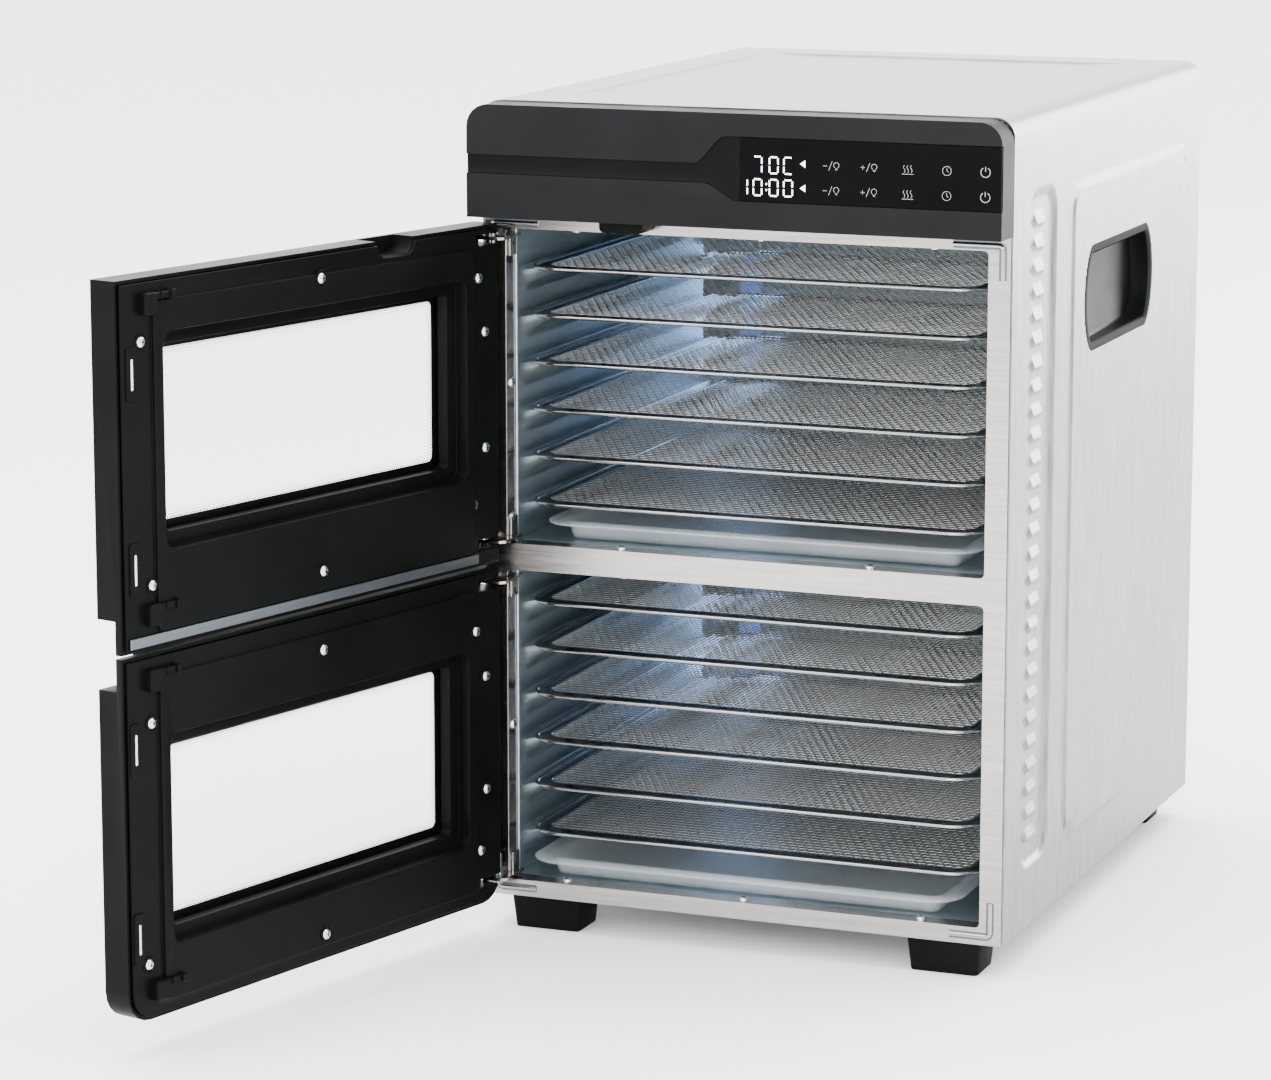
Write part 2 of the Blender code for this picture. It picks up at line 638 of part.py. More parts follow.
def door_liner(door, span, pivot):
    """The inner panel: a thin plate, a raised field and a funnel that runs forward to the window."""
    low, high = span
    middle = WINDOW_MIDDLE[door]
    half_x, half_z = WINDOW_HALF
    edge = DOOR_WALL + GAP
    corner = (lambda point: point.z < 0) if door == "lower" else (lambda point: False)
    plate = slab(
        f"{door}_door_liner", (-WIDTH / 2 + edge, FRONT + SHELL_INNER + GAP, low + edge),
        (WIDTH / 2 - edge, FRONT + DOOR_INNER, high - edge), "satin_black", 0.0155, 1, corner, 5, pivot,
    )
    field = slab(
        f"{door}_raised_field", (-0.1450, FRONT - 0.0040, low + 0.010), (0.1450, FRONT + FIELD_INNER, high - 0.0135),
        None, 0.004, 1, None, 3, pivot,
    )
    funnel = slab(
        f"{door}_funnel", (-half_x - 0.0110, FRONT - 0.0178, middle - half_z - 0.0110),
        (half_x + 0.0110, FRONT - 0.0035, middle + half_z + 0.0110), None, 0.010, 1, None, 4, pivot,
    )
    throat = slab(
        f"{door}_throat", (-half_x - 0.0005, FRONT - 0.040, middle - half_z - 0.0005),
        (half_x + 0.0005, FRONT + BEYOND, middle + half_z + 0.0005), None, 0.004, 1, None, 4, pivot,
    )
    step = slab(
        f"{door}_step", (-half_x - 0.0090, FRONT - 0.0100, middle - half_z - 0.0090),
        (half_x + 0.0090, FRONT + BEYOND, middle + half_z + 0.0090), None, 0.008, 1, None, 4, pivot,
    )
    fuse(plate, field, funnel)
    tools = [throat, step] + hinge_slots(door, pivot)
    if door == "upper":
        tools.append(slab(
            "liner_switch_notch", (-0.0900, FRONT - 0.0205, high - 0.0105), (-0.0550, FRONT + BEYOND, high + 0.01), None,
            0.008, 1, lambda point: point.z < 0, 4, pivot,
        ))
    return cut(plate, *tools)


def door_glass(door, pivot):
    middle = WINDOW_MIDDLE[door]
    half_x, half_z = (half + margin - GAP for half, margin in zip(WINDOW_HALF, GLASS_MARGIN))
    return slab(
        f"{door}_door_glass", (-half_x, FRONT + DOOR_OUTER, middle - half_z),
        (half_x, FRONT + DOOR_OUTER + GLASS_THICK, middle + half_z), "window_glass", 0.0077, 1, None, 4, pivot,
    )


def door_trim_strip(pivot):
    """The satin strip along the inner foot of the upper door."""
    low = UPPER_DOOR[0] + 0.0030
    return slab(
        "upper_door_strip", (-0.1480, FRONT + DOOR_INNER + GAP, low), (0.1680, FRONT - 0.0014, low + 0.0062),
        "frame_stainless", pivot=pivot,
    )


def doors():
    for door, span in (("upper", UPPER_DOOR), ("lower", LOWER_DOOR)):
        pivot = axis_empty(f"{door}_door_axis", (HINGE_X, FRONT + HINGE_Y, span[0]))
        door_shell(door, span, pivot)
        door_liner(door, span, pivot)
        door_glass(door, pivot)
        if door == "upper":
            door_trim_strip(pivot)
        pivot.rotation_euler.z = -DOOR_OPEN


# Trays

def mesh_tray(name, top):
    """A stand-in for a mesh tray: a thin deck inside a thicker rounded rim."""
    front, border, sink = FRONT + TRAY_FRONT, 0.009, 0.0010
    tray = slab(
        name, (-TRAY_HALF, front, top - TRAY_THICK), (TRAY_HALF, front + TRAY_DEPTH, top), "tray_steel",
        TRAY_CORNER, 2, None, 4,
    )
    deck = slab(
        f"{name}_deck", (-TRAY_HALF + border, front + border, top - sink),
        (TRAY_HALF - border, front + TRAY_DEPTH - border, top + 0.01), None, TRAY_CORNER - border, 2, None, 4,
    )
    return cut(tray, deck)


def drip_tray(name, bottom, shift, front):
    """A clear moulded pan with a wide flat rim; shift is how far it stands off the middle."""
    near = FRONT + front
    top = bottom + DRIP_HEIGHT
    wall = 0.0015
    rim = slab(
        name, (shift - DRIP_HALF, near, top - wall), (shift + DRIP_HALF, near + DRIP_DEPTH, top), "clear_plastic",
        0.022, 2, None, 4,
    )
    pan = slab(
        f"{name}_pan", (shift - DRIP_HALF + DRIP_RIM, near + DRIP_RIM, bottom),
        (shift + DRIP_HALF - DRIP_RIM, near + DRIP_DEPTH - DRIP_RIM, top - 0.0004), None, 0.014, 2, None, 4,
    )
    inside = slab(
        f"{name}_inside", (shift - DRIP_HALF + DRIP_RIM + wall, near + DRIP_RIM + wall, bottom + wall),
        (shift + DRIP_HALF - DRIP_RIM - wall, near + DRIP_DEPTH - DRIP_RIM - wall, top + 0.01), None, 0.0125, 2, None, 4,
    )
    fuse(rim, pan)
    return cut(rim, inside)


def trays():
    for chamber, top in (("upper", UPPER_TRAY_TOP), ("lower", LOWER_TRAY_TOP)):
        for number in range(TRAY_COUNT):
            mesh_tray(f"{chamber}_tray_{number + 1}", top - number * TRAY_PITCH)
    drip_tray("upper_drip_tray", UPPER_MOUTH[0] + GAP, 0.004, 0.010)
    drip_tray("lower_drip_tray", LOWER_MOUTH[0] + GAP, -0.004, 0.004)


def cabinet():
    outer_wrap()
    base_pan()
    rear_panel()
    front_frame()
    for chamber, mouth, top in (("upper", UPPER_MOUTH, UPPER_TRAY_TOP), ("lower", LOWER_MOUTH, LOWER_TRAY_TOP)):
        for side in (-1, 1):
            chamber_wall(chamber, side, mouth, top)
        chamber_panels(chamber, mouth)
        lamp(chamber, mouth)
        fan(chamber, FAN_HEIGHTS[chamber])
        fan_motor(chamber, FAN_HEIGHTS[chamber])
        heater(chamber, FAN_HEIGHTS[chamber])
    for side in (-1, 1):
        handle(side)
    feet()
    cord_gland()
    fascia()
    touch_panel()
    control_boards()
    door_switch_housing()
    for label in HINGES:
        hinge_bracket(label)


cabinet()
doors()
trays()
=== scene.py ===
# %% [markdown]
# # A food dehydrator with two chambers
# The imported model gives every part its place, and the joints that the doors, trays and fans move on.
# This lesson builds the visible surfaces round it: folded sheet steel, woven wire, moulded plastic and glass.
# Units are metres. X is to the right seen from the front, Y to the back and Z up.

import json
import math

import bmesh
import bpy
import numpy as np
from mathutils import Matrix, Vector

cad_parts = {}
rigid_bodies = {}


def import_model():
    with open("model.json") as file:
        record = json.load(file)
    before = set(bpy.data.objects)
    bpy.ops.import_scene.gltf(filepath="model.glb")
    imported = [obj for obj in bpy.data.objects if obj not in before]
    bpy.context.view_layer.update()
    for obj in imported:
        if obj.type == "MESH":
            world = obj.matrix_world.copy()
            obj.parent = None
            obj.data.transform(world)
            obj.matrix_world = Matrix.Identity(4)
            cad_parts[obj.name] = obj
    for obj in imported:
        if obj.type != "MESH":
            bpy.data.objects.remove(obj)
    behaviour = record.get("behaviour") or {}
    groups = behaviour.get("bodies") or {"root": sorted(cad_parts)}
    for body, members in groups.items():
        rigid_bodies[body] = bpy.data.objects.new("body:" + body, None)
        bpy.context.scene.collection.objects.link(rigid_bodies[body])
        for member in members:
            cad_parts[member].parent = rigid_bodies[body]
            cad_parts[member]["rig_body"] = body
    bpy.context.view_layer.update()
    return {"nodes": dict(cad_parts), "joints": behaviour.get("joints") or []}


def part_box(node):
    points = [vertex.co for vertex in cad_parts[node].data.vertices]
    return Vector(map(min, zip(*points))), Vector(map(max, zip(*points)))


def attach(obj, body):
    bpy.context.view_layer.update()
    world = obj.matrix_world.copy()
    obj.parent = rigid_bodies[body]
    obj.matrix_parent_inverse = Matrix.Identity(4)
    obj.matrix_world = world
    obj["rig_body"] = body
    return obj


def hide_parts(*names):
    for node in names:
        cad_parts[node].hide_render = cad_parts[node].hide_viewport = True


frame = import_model()

# %% [markdown]
# ## Colours and nodes
# Hex colours are how a maker writes a finish down. A shader wants linear light, so one function turns
# hex to linear with the sRGB curve. One helper adds a node, another starts a material from its shader.

# %% Colour and node helpers
def linear(text):
    """sRGB hex to linear: low values are divided by 12.92, the rest follow a power of 2.4."""
    share = np.array([int(text[i:i + 2], 16) for i in (1, 3, 5)]) / 255
    return (*np.where(share <= 0.04045, share / 12.92, ((share + 0.055) / 1.055) ** 2.4).tolist(), 1)


def add(tree, kind, values=None, links=None, **settings):
    """One node: settings are its own properties, values fill its sockets and links feed them."""
    node = tree.nodes.new("ShaderNode" + kind)
    for name, value in settings.items():
        setattr(node, name, value)
    for name, value in (values or {}).items():
        node.inputs[name].default_value = value
    for name, source in (links or {}).items():
        tree.links.new(source, node.inputs[name])
    return node


MM = 1000  # a texture scale of MM / n repeats about every n millimetres
finishes = {}


def finish(name, slot, colour, roughness, metallic=0.0, **sockets):
    """A Principled material under its real name, and the record's slot that it stands for."""
    material = bpy.data.materials.new(name)
    material.use_nodes = True
    shader = material.node_tree.nodes["Principled BSDF"]
    values = {"Base Color": linear(colour), "Roughness": roughness, "Metallic": metallic, **sockets}
    for socket, value in values.items():
        shader.inputs[socket].default_value = value
    finishes[name] = (material, slot)
    return material.node_tree, shader


def object_space(tree, scale=(1, 1, 1)):
    """Object coordinates, stretched by a scale along each axis."""
    place = add(tree, "TexCoord")
    return add(tree, "Mapping", {"Scale": scale}, {"Vector": place.outputs["Object"]}).outputs[0]


def noise(tree, space, scale=1.0, detail=2.0):
    """Cloudy noise over some coordinates."""
    return add(tree, "TexNoise", {"Scale": scale, "Detail": detail}, {"Vector": space}).outputs[0]


def bump(tree, shader, height, strength, distance):
    """Feeds a height to the shader's normal."""
    node = add(tree, "Bump", {"Strength": strength, "Distance": distance}, {"Height": height})
    tree.links.new(node.outputs[0], shader.inputs["Normal"])


def spread(tree, value, low, high):
    """Maps a texture's middle range to low and high."""
    node = add(tree, "MapRange", {"From Min": 0.3, "From Max": 0.7, "To Min": low, "To Max": high}, {"Value": value})
    return node.outputs[0]


def tint(tree, shader, value, dark, light):
    """Blends the base colour between two hex colours by a texture value."""
    node = add(tree, "Mix", {6: linear(dark), 7: linear(light)}, {0: value}, data_type="RGBA")
    tree.links.new(node.outputs[2], shader.inputs["Base Color"])


# %% [markdown]
# ## Sheet steel
# The cabinet is brushed 430 stainless. An abrasive belt leaves fine scratches along one direction,
# so light spreads sideways and the face looks streaked. Noise stretched along the belt's direction gives
# the streaks; a bump and a change of roughness make them catch the light.
# The front frame is the same sheet with a brighter finish, the chambers are plainer satin sheet,
# and the hidden rear and base are galvanised, with zinc crystals a few millimetres across.

# %% Sheet steel finishes
def brushed(name, slot, dark, light, across, roughness, strength):
    """across holds millimetres for one streak in X, Y and Z: short across the belt, long along it."""
    tree, shader = finish(name, slot, light, roughness[0], 1.0)
    fine = add(tree, "TexNoise", {"Scale": 1.0, "Detail": 4.0, "Roughness": 0.6},
               {"Vector": object_space(tree, [MM / n for n in across])})
    cloud = noise(tree, object_space(tree, [MM / (n * 3) for n in across]))
    both = add(tree, "Math", {}, {0: fine.outputs[0], 1: cloud}, operation="ADD")
    half = add(tree, "Math", {1: 0.5}, {0: both.outputs[0]}, operation="MULTIPLY").outputs[0]
    tint(tree, shader, spread(tree, half, 0.0, 1.0), dark, light)
    tree.links.new(spread(tree, half, *roughness), shader.inputs["Roughness"])
    bump(tree, shader, fine.outputs[0], strength, 0.0002)


# streaks are 2.2 mm wide and 18 mm long; they run up the sides and on across the top
brushed("brushed 430 stainless sheet", "brushed_stainless", "#565658", "#8c8c8e", (18, 2.2, 18), (0.24, 0.36), 0.35)
brushed("bright brushed stainless", "frame_stainless", "#918d8a", "#b0aca9", (26, 20, 0.9), (0.16, 0.24), 0.10)
brushed("satin 304 chamber sheet", "chamber_steel", "#9fafb6", "#b9c8ce", (20, 18, 2.5), (0.34, 0.44), 0.05)

tree, shader = finish("galvanised sheet", "galvanised_steel", "#9a9c9e", 0.45, 1.0)
crystals = add(tree, "TexVoronoi", {"Scale": MM / 6}, {"Vector": object_space(tree)})
tint(tree, shader, spread(tree, crystals.outputs["Color"], 0.0, 1.0), "#8b8e90", "#9b9ea0")

# the baffle's holes are darker spots of colour: painted shade of the space behind them
tree, shader = finish("perforated chamber sheet", "chamber_steel", "#8fa0a8", 0.35, 1.0)
holes = add(tree, "TexVoronoi", {"Scale": MM / 7, "Randomness": 0.0}, {"Vector": object_space(tree, (1, 0.001, 1))})
sheet_outside_hole_shade = add(tree, "Math", {1: 0.30}, {0: holes.outputs["Distance"]}, operation="GREATER_THAN")
tint(tree, shader, sheet_outside_hole_shade.outputs[0], "#69767d", "#9fb0b8")

# %% [markdown]
# ## Tray steel
# A tray has a pressed and polished border and a deck of woven wire. The wire's colour is painted light by height:
# a painted highlight along its ridge and painted shade where it dips between its neighbours. Each point of the weave
# carries its height as an attribute called painted_light, which sets the colour, and noise gives the wire a slow change
# of roughness.

# %% Tray and small metal finishes
tree, shader = finish("polished stainless border", "tray_steel", "#97989a", 0.16, 1.0)
wear = noise(tree, object_space(tree, (MM / 25,) * 3), detail=3.0)
tree.links.new(spread(tree, wear, 0.12, 0.24), shader.inputs["Roughness"])

tree, shader = finish("woven stainless wire", "tray_steel", "#d5d2cd", 0.30, 1.0)
glint = noise(tree, object_space(tree, (MM / 5, MM / 12, MM / 5)))
tree.links.new(spread(tree, glint, 0.26, 0.38), shader.inputs["Roughness"])
# the wire's height sets a painted highlight on its ridges and painted shade in its dips
painted_light = add(tree, "Attribute", attribute_name="painted_light")
tint(tree, shader, painted_light.outputs["Fac"], "#36373a", "#fffdf9")

tree, shader = finish("zinc plated screw", "frame_stainless", "#d4d4d2", 0.22, 1.0)
scuff = noise(tree, object_space(tree), MM / 2)
tree.links.new(spread(tree, scuff, 0.16, 0.32), shader.inputs["Roughness"])

tree, shader = finish("turned motor steel", "motor_metal", "#8d8e90", 0.38, 1.0)
lathe_marks = noise(tree, object_space(tree, (20, MM / 0.8, 20)))
bump(tree, shader, lathe_marks, 0.2, 0.0002)

brushed("satin grey trim and painted bead shadow", "frame_stainless", "#565a5f", "#63686d", (30, 30, 1.5), (0.34, 0.42), 0.05)

tree, shader = finish("oxidised heater sheath", "heater_sheath", "#5b5148", 0.5, 1.0)
scale_marks = noise(tree, object_space(tree), MM / 9, 4.0)
tint(tree, shader, spread(tree, scale_marks, 0.0, 1.0), "#3f3833", "#76685c")

# %% [markdown]
# ## Plastics, glass and lights
# The doors and fascia are injection-moulded ABS. A spark-eroded mould leaves a fine grain, which breaks up the
# shine, so each plastic gets grain at its real size and a faint cloudiness. The touch panel is polished acrylic
# over black. The drip trays are frosted polypropylene, which lets some light through.

# %% Plastic finishes
def moulded(name, slot, dark, light, roughness, grain, strength, **sockets):
    """grain is the mould texture's size in millimetres."""
    tree, shader = finish(name, slot, light, roughness[0], 0.0, **sockets)
    space = object_space(tree)
    texture, cloud = noise(tree, space, MM / grain), noise(tree, space, MM / 60, 3.0)
    tint(tree, shader, spread(tree, cloud, 0.0, 1.0), dark, light)
    tree.links.new(spread(tree, cloud, *roughness), shader.inputs["Roughness"])
    bump(tree, shader, texture, strength, 0.0001)


DULL = {"Specular IOR Level": 0.035}  # a spark-eroded skin traps most of its own reflection
moulded("satin black ABS", "satin_black", "#060707", "#0a0b0b", (0.34, 0.42), 0.6, 0.25, **DULL)
moulded("charcoal ABS", "charcoal_plastic", "#151516", "#18181a", (0.40, 0.48), 0.6, 0.25, **DULL)
# darker charcoal plastic laid in recesses: painted shade
moulded("charcoal ABS with painted recess shade", "charcoal_plastic", "#090a0a", "#0c0d0d", (0.38, 0.46), 0.6, 0.2, **DULL)
moulded("grained grey polypropylene", "handle_grey", "#1f2022", "#242628", (0.60, 0.70), 0.9, 0.4,
        **{"Specular IOR Level": 0.02})
moulded("matt black foot moulding", "foot_black", "#090909", "#0f0f0f", (0.55, 0.65), 1.2, 0.5, **DULL)
moulded("gloss black acrylic", "gloss_black", "#030304", "#050506", (0.10, 0.14), 30, 0.02, **DULL)
moulded("frosted polypropylene", "clear_plastic", "#b9c2c7", "#ccd4d8", (0.30, 0.38), 1.5, 0.15,
        Alpha=0.30, IOR=1.49)
moulded("green solder mask", "board_green", "#0f4a26", "#17633a", (0.35, 0.5), 2.0, 0.2)

tree, shader = finish("toughened window glass", "window_glass", "#1c2224", 0.02, 0.0, Alpha=0.05, IOR=1.52)
smear = noise(tree, object_space(tree), MM / 70, 1.0)
tree.links.new(spread(tree, smear, 0.01, 0.05), shader.inputs["Roughness"])

moulded("black glass print", "window_glass", "#070708", "#0a0a0b", (0.28, 0.34), 2.0, 0.05, **DULL)
finish("white display segment", "gloss_black", "#f2f6ff", 0.4, 0.0,
       **{"Emission Color": linear("#f2f6ff"), "Emission Strength": 3.0})
# the key prints carry a faint emission: a painted glow that lifts them off the dark panel
finish("pale key print", "gloss_black", "#8a8e91", 0.5, 0.0,
       **{"Emission Color": linear("#8a8e91"), "Emission Strength": 0.06})
tree, shader = finish("milky lamp lens", "lamp_lens", "#9dbbe6", 0.3, 0.0,
                      **{"Emission Color": linear("#5f93ff"), "Emission Strength": 0.7})
facets = add(tree, "TexWave", {"Scale": MM / 20}, {"Vector": object_space(tree, (0, 0, 1))})
bump(tree, shader, facets.outputs[0], 0.4, 0.0004)
print("finishes", len(finishes))

# %% [markdown]
# ## Surfaces as arrays
# Every new piece is a grid of points worked out with numpy. A shape is either a relief over a plane,
# a stack of rounded rectangles, a section carried along a path, or a profile turned about an axis.
# Whole arrays go into the mesh at once, which is quick and keeps each formula in one place.

# %% Mesh helpers
def grid_quads(rows, cols, wrap_rows=False, wrap_cols=False):
    """Corner numbers of each quad in a rows by cols grid; a wrapped direction joins its last line to its first."""
    r, c = np.meshgrid(np.arange(rows - (not wrap_rows)), np.arange(cols - (not wrap_cols)), indexing="ij")
    r2, c2 = (r + 1) % rows, (c + 1) % cols
    return np.stack([r * cols + c, r * cols + c2, r2 * cols + c2, r2 * cols + c], -1).reshape(-1, 4)


def mesh_from(name, points, quads, caps=()):
    """Sets points, quads and any many-sided caps into a mesh as whole arrays."""
    points = np.asarray(points, np.float32).reshape(-1, 3)
    sizes = np.r_[np.full(len(quads), 4), [len(cap) for cap in caps]].astype(np.int32)
    corners = np.concatenate([np.asarray(quads).ravel(), *caps]).astype(np.int32)
    mesh = bpy.data.meshes.new(name)
    mesh.vertices.add(len(points))
    mesh.loops.add(len(corners))
    mesh.polygons.add(len(sizes))
    mesh.vertices.foreach_set("co", points.ravel())
    mesh.loops.foreach_set("vertex_index", corners)
    mesh.polygons.foreach_set("loop_start", np.r_[0, np.cumsum(sizes)[:-1]].astype(np.int32))
    mesh.update(calc_edges=True)
    return mesh


def outward(mesh):
    """Turns every closed shell's faces out."""
    shape = bmesh.new()
    shape.from_mesh(mesh)
    bmesh.ops.recalc_face_normals(shape, faces=shape.faces)
    shape.to_mesh(mesh)
    shape.free()


def show(name, mesh, material, body="root", stands_for=(), sharp=35):
    """Shades a mesh smooth up to the sharp angle, gives it its finish and lets it ride on its body."""
    mesh.polygons.foreach_set("use_smooth", np.ones(len(mesh.polygons), bool))
    mesh.set_sharp_from_angle(angle=math.radians(sharp))
    piece = bpy.data.objects.new(name, mesh)
    bpy.context.scene.collection.objects.link(piece)
    material, slot = finishes[material]
    mesh.materials.append(material)
    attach(piece, body)
    if stands_for:
        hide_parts(*stands_for)
    print(f"{name}: {len(mesh.polygons)} faces")
    return piece


def rounded_loop(low, high, radius, steps=8, power=2.0):
    """A rectangle whose four corners are quarter superellipses; power 2 makes them circles, less flattens them."""
    turn = np.linspace(0, math.pi / 2, steps + 1)
    rx, ry = np.broadcast_to(radius, 2)
    corner = np.c_[np.cos(turn) ** (2 / power) * rx, np.sin(turn) ** (2 / power) * ry]
    reach, middle = (np.array(high) - low) / 2 - (rx, ry), (np.array(high) + low) / 2
    signs = ((1, 1), (-1, 1), (-1, -1), (1, -1))
    return np.concatenate([middle + (reach + corner[::1 if sx * sy > 0 else -1]) * (sx, sy) for sx, sy in signs])


AXES = {"top": (0, 1, 2), "front": (0, 2, 1), "side": (1, 2, 0)}
SMALLEST_RADIUS = 0.0004  # a corner never gets sharper than this as a shape steps in


def stack(low, high, radius, profile, facing="top", steps=8, ring=False, power=2.0):
    """Level curves that are rounded rectangles. A profile row is (inset, height), or (inset, height, extra inset
    along the lowest edge). Heights are along Z, Y or X for a shape facing top, front or side.
    A ring joins its last level to its first; any other shape is closed by a cap at each end."""
    levels = []
    for inset, height, *extra in profile:
        near = (low[0] + inset, low[1] + inset + (extra[0] if extra else 0))
        bend = np.maximum(np.subtract(radius, inset), SMALLEST_RADIUS)
        loop = rounded_loop(near, (high[0] - inset, high[1] - inset), bend, steps, power)
        levels.append(np.c_[loop, np.full(len(loop), height)])
    flat = np.array(levels)
    points = np.empty_like(flat)
    points[..., list(AXES[facing])] = flat
    rows, cols = points.shape[:2]
    caps = () if ring else (np.arange(cols), np.arange(cols) + (rows - 1) * cols)
    return points.reshape(-1, 3), grid_quads(rows, cols, ring, True), caps


def stacked(name, *args, **kwargs):
    """A stack as a mesh whose faces point out."""
    mesh = mesh_from(name, *stack(*args, **kwargs))
    outward(mesh)
    return mesh


def sweep(path, section, tube=True):
    """A section carried along a path that faces the front: each pair of it is (out, up), where out is ahead x up.
    A tube joins the section's last point to its first and is capped; any other sweep is an open strip."""
    path, section, up = np.asarray(path, float), np.asarray(section, float), np.array([0.0, -1.0, 0.0])
    ahead = np.gradient(path, axis=0)
    ahead /= np.linalg.norm(ahead, axis=1)[:, None]
    out = np.cross(ahead, up)
    points = path[:, None] + out[:, None] * section[:, :1] + up * section[:, 1:]
    rows, cols = points.shape[:2]
    caps = (np.arange(cols), np.arange(cols) + (rows - 1) * cols) if tube else ()
    return points.reshape(-1, 3), grid_quads(rows, cols, False, tube), caps


def turned(profile, sides=16):
    """A profile of (radius, height) turned about Z; its ends are closed by caps."""
    angle = np.arange(sides) * math.tau / sides
    radius, height = np.asarray(profile, float).T
    points = np.stack([radius[:, None] * np.cos(angle), radius[:, None] * np.sin(angle),
                       np.repeat(height[:, None], sides, 1)], -1)
    rows = len(profile)
    caps = (np.arange(sides), np.arange(sides) + (rows - 1) * sides)
    return points.reshape(-1, 3), grid_quads(rows, sides, False, True), caps


def join(parts):
    """Several (points, quads, caps) sets as one."""
    points, quads, caps, count = [], [], [], 0
    for p, q, c in parts:
        points.append(p)
        quads.append(np.asarray(q) + count)
        caps += [np.asarray(cap) + count for cap in c]
        count += len(p)
    return np.concatenate(points), np.concatenate(quads), caps


FACING = {
    "+X": [[0, 0, 1], [1, 0, 0], [0, 1, 0]], "-X": [[0, 0, -1], [0, 1, 0], [1, 0, 0]],
    "+Y": [[0, 1, 0], [0, 0, 1], [1, 0, 0]], "-Y": [[1, 0, 0], [0, 0, -1], [0, 1, 0]],
    "+Z": [[1, 0, 0], [0, 1, 0], [0, 0, 1]], "-Z": [[0, 1, 0], [1, 0, 0], [0, 0, -1]],
}


def copies(shape, places, facing="+Z"):
    """One shape at many places, its own Z turned to face along the named axis."""
    points, quads, caps = shape
    turned_points = points @ np.array(FACING[facing], float).T
    return join([(turned_points + np.asarray(place), quads, caps) for place in places])


# %% [markdown]
# ## Softened copies
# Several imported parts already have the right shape, but real mouldings and pressings have no knife edges.
# A copy of such a part is merged, its flat areas are dissolved to single faces, and a narrow Bevel modifier
# rounds its edges so that they catch a line of light.

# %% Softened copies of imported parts
def softened(node, material, width, segments=2, sharp=35):
    """A merged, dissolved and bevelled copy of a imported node, which it then stands for."""
    source = frame["nodes"][node]
    mesh = source.data.copy()
    mesh.materials.clear()
    shape = bmesh.new()
    shape.from_mesh(mesh)
    bmesh.ops.remove_doubles(shape, verts=shape.verts, dist=1e-6)
    bmesh.ops.dissolve_limit(shape, angle_limit=math.radians(1), verts=shape.verts, edges=shape.edges)
    shape.to_mesh(mesh)
    shape.free()
    piece = show(node + "_soft", mesh, material, source["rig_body"], [node], sharp)
    edge = piece.modifiers.new("edge", "BEVEL")
    edge.width, edge.segments, edge.limit_method = width, segments, "ANGLE"
    edge.angle_limit, edge.harden_normals = math.radians(30), True
    return piece


def dress(material, *nodes):
    """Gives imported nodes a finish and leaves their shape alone."""
    for node in nodes:
        mesh = frame["nodes"][node].data
        mesh.materials.clear()
        mesh.materials.append(finishes[material][0])


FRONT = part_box("front_frame")[0].y
HALF, _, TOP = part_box("outer_wrap")[1]
SHEET = 0.001  # thickness of the outer sheet
print("front plane", round(FRONT, 4), "half width", round(HALF, 4), "top", round(TOP, 4))

# %% [markdown]
# ## The folded wrap
# One sheet of steel is folded over both sides and the top. The press leaves a shallow channel of louvres near
# the front of each side, a wide raised field behind it, and a sunk field on top.
# A louvre slopes out from the sheet to a lip that opens downwards, so rain or dust doesn't fall in.
# Each face is a relief: its height is a sum of smooth steps, and its grid is dense only where the relief is.

# %% Relief over a plane
def step(value, start, end):
    """Smooth rise from 0 at start to 1 at end: 3t squared less 2t cubed."""
    t = np.clip((value - start) / (end - start), 0, 1)
    return t * t * (3 - 2 * t)


def field(y, z, low, high, radius, edge):
    """1 inside a rounded rectangle and 0 outside, with a soft edge; uses the distance to the rounded outline."""
    centre = (np.array(low) + high) / 2
    reach = (np.array(high) - low) / 2 - radius
    qy, qz = np.abs(y - centre[0]) - reach[0], np.abs(z - centre[1]) - reach[1]
    outside = np.hypot(np.maximum(qy, 0), np.maximum(qz, 0)) + np.minimum(np.maximum(qy, qz), 0) - radius
    return 1 - step(outside, -edge / 2, edge / 2)


LOUVRE_PITCH, LOUVRE_TOP, LOUVRE_COUNT = 0.01484, 0.443, 27
BEND, SEAM = 0.012, 0.008  # the bend's radius, and how far below it the side and top pieces meet
CHANNEL_DEPTH, LOUVRE_HEIGHT, FIELD_HEIGHT, TOP_DEPTH = 0.0026, 0.0022, 0.0014, 0.0012


def side_relief(y, z):
    """Height of the sheet over the flat side: channel, louvres and raised field."""
    yf = y - FRONT
    channel = field(yf, z, (0.036, 0.040), (0.091, 0.460), 0.016, 0.006)
    row = np.clip(np.round((LOUVRE_TOP - z) / LOUVRE_PITCH), 0, LOUVRE_COUNT - 1)
    down = (LOUVRE_TOP - row * LOUVRE_PITCH) - z
    louvre = field(yf, down, (0.0490, -0.0044), (0.0710, 0.0030), 0.0035, 0.0030)
    louvre = louvre * (0.35 + 0.65 * step(down, -0.004, 0.002))  # low at its top and full at its lip
    raised = field(yf, z, (0.129, 0.036), (0.409, 0.456), 0.020, 0.0035)
    return -CHANNEL_DEPTH * channel + LOUVRE_HEIGHT * louvre * channel + FIELD_HEIGHT * raised


def dense(*spans):
    """Sorted positions from (start, end, spacing) spans, without repeats."""
    lines = np.concatenate([np.linspace(a, b, max(int(round((b - a) / gap)), 1) + 1) for a, b, gap in spans])
    lines = np.sort(lines)
    return lines[np.r_[True, np.diff(lines) > 1e-5]]


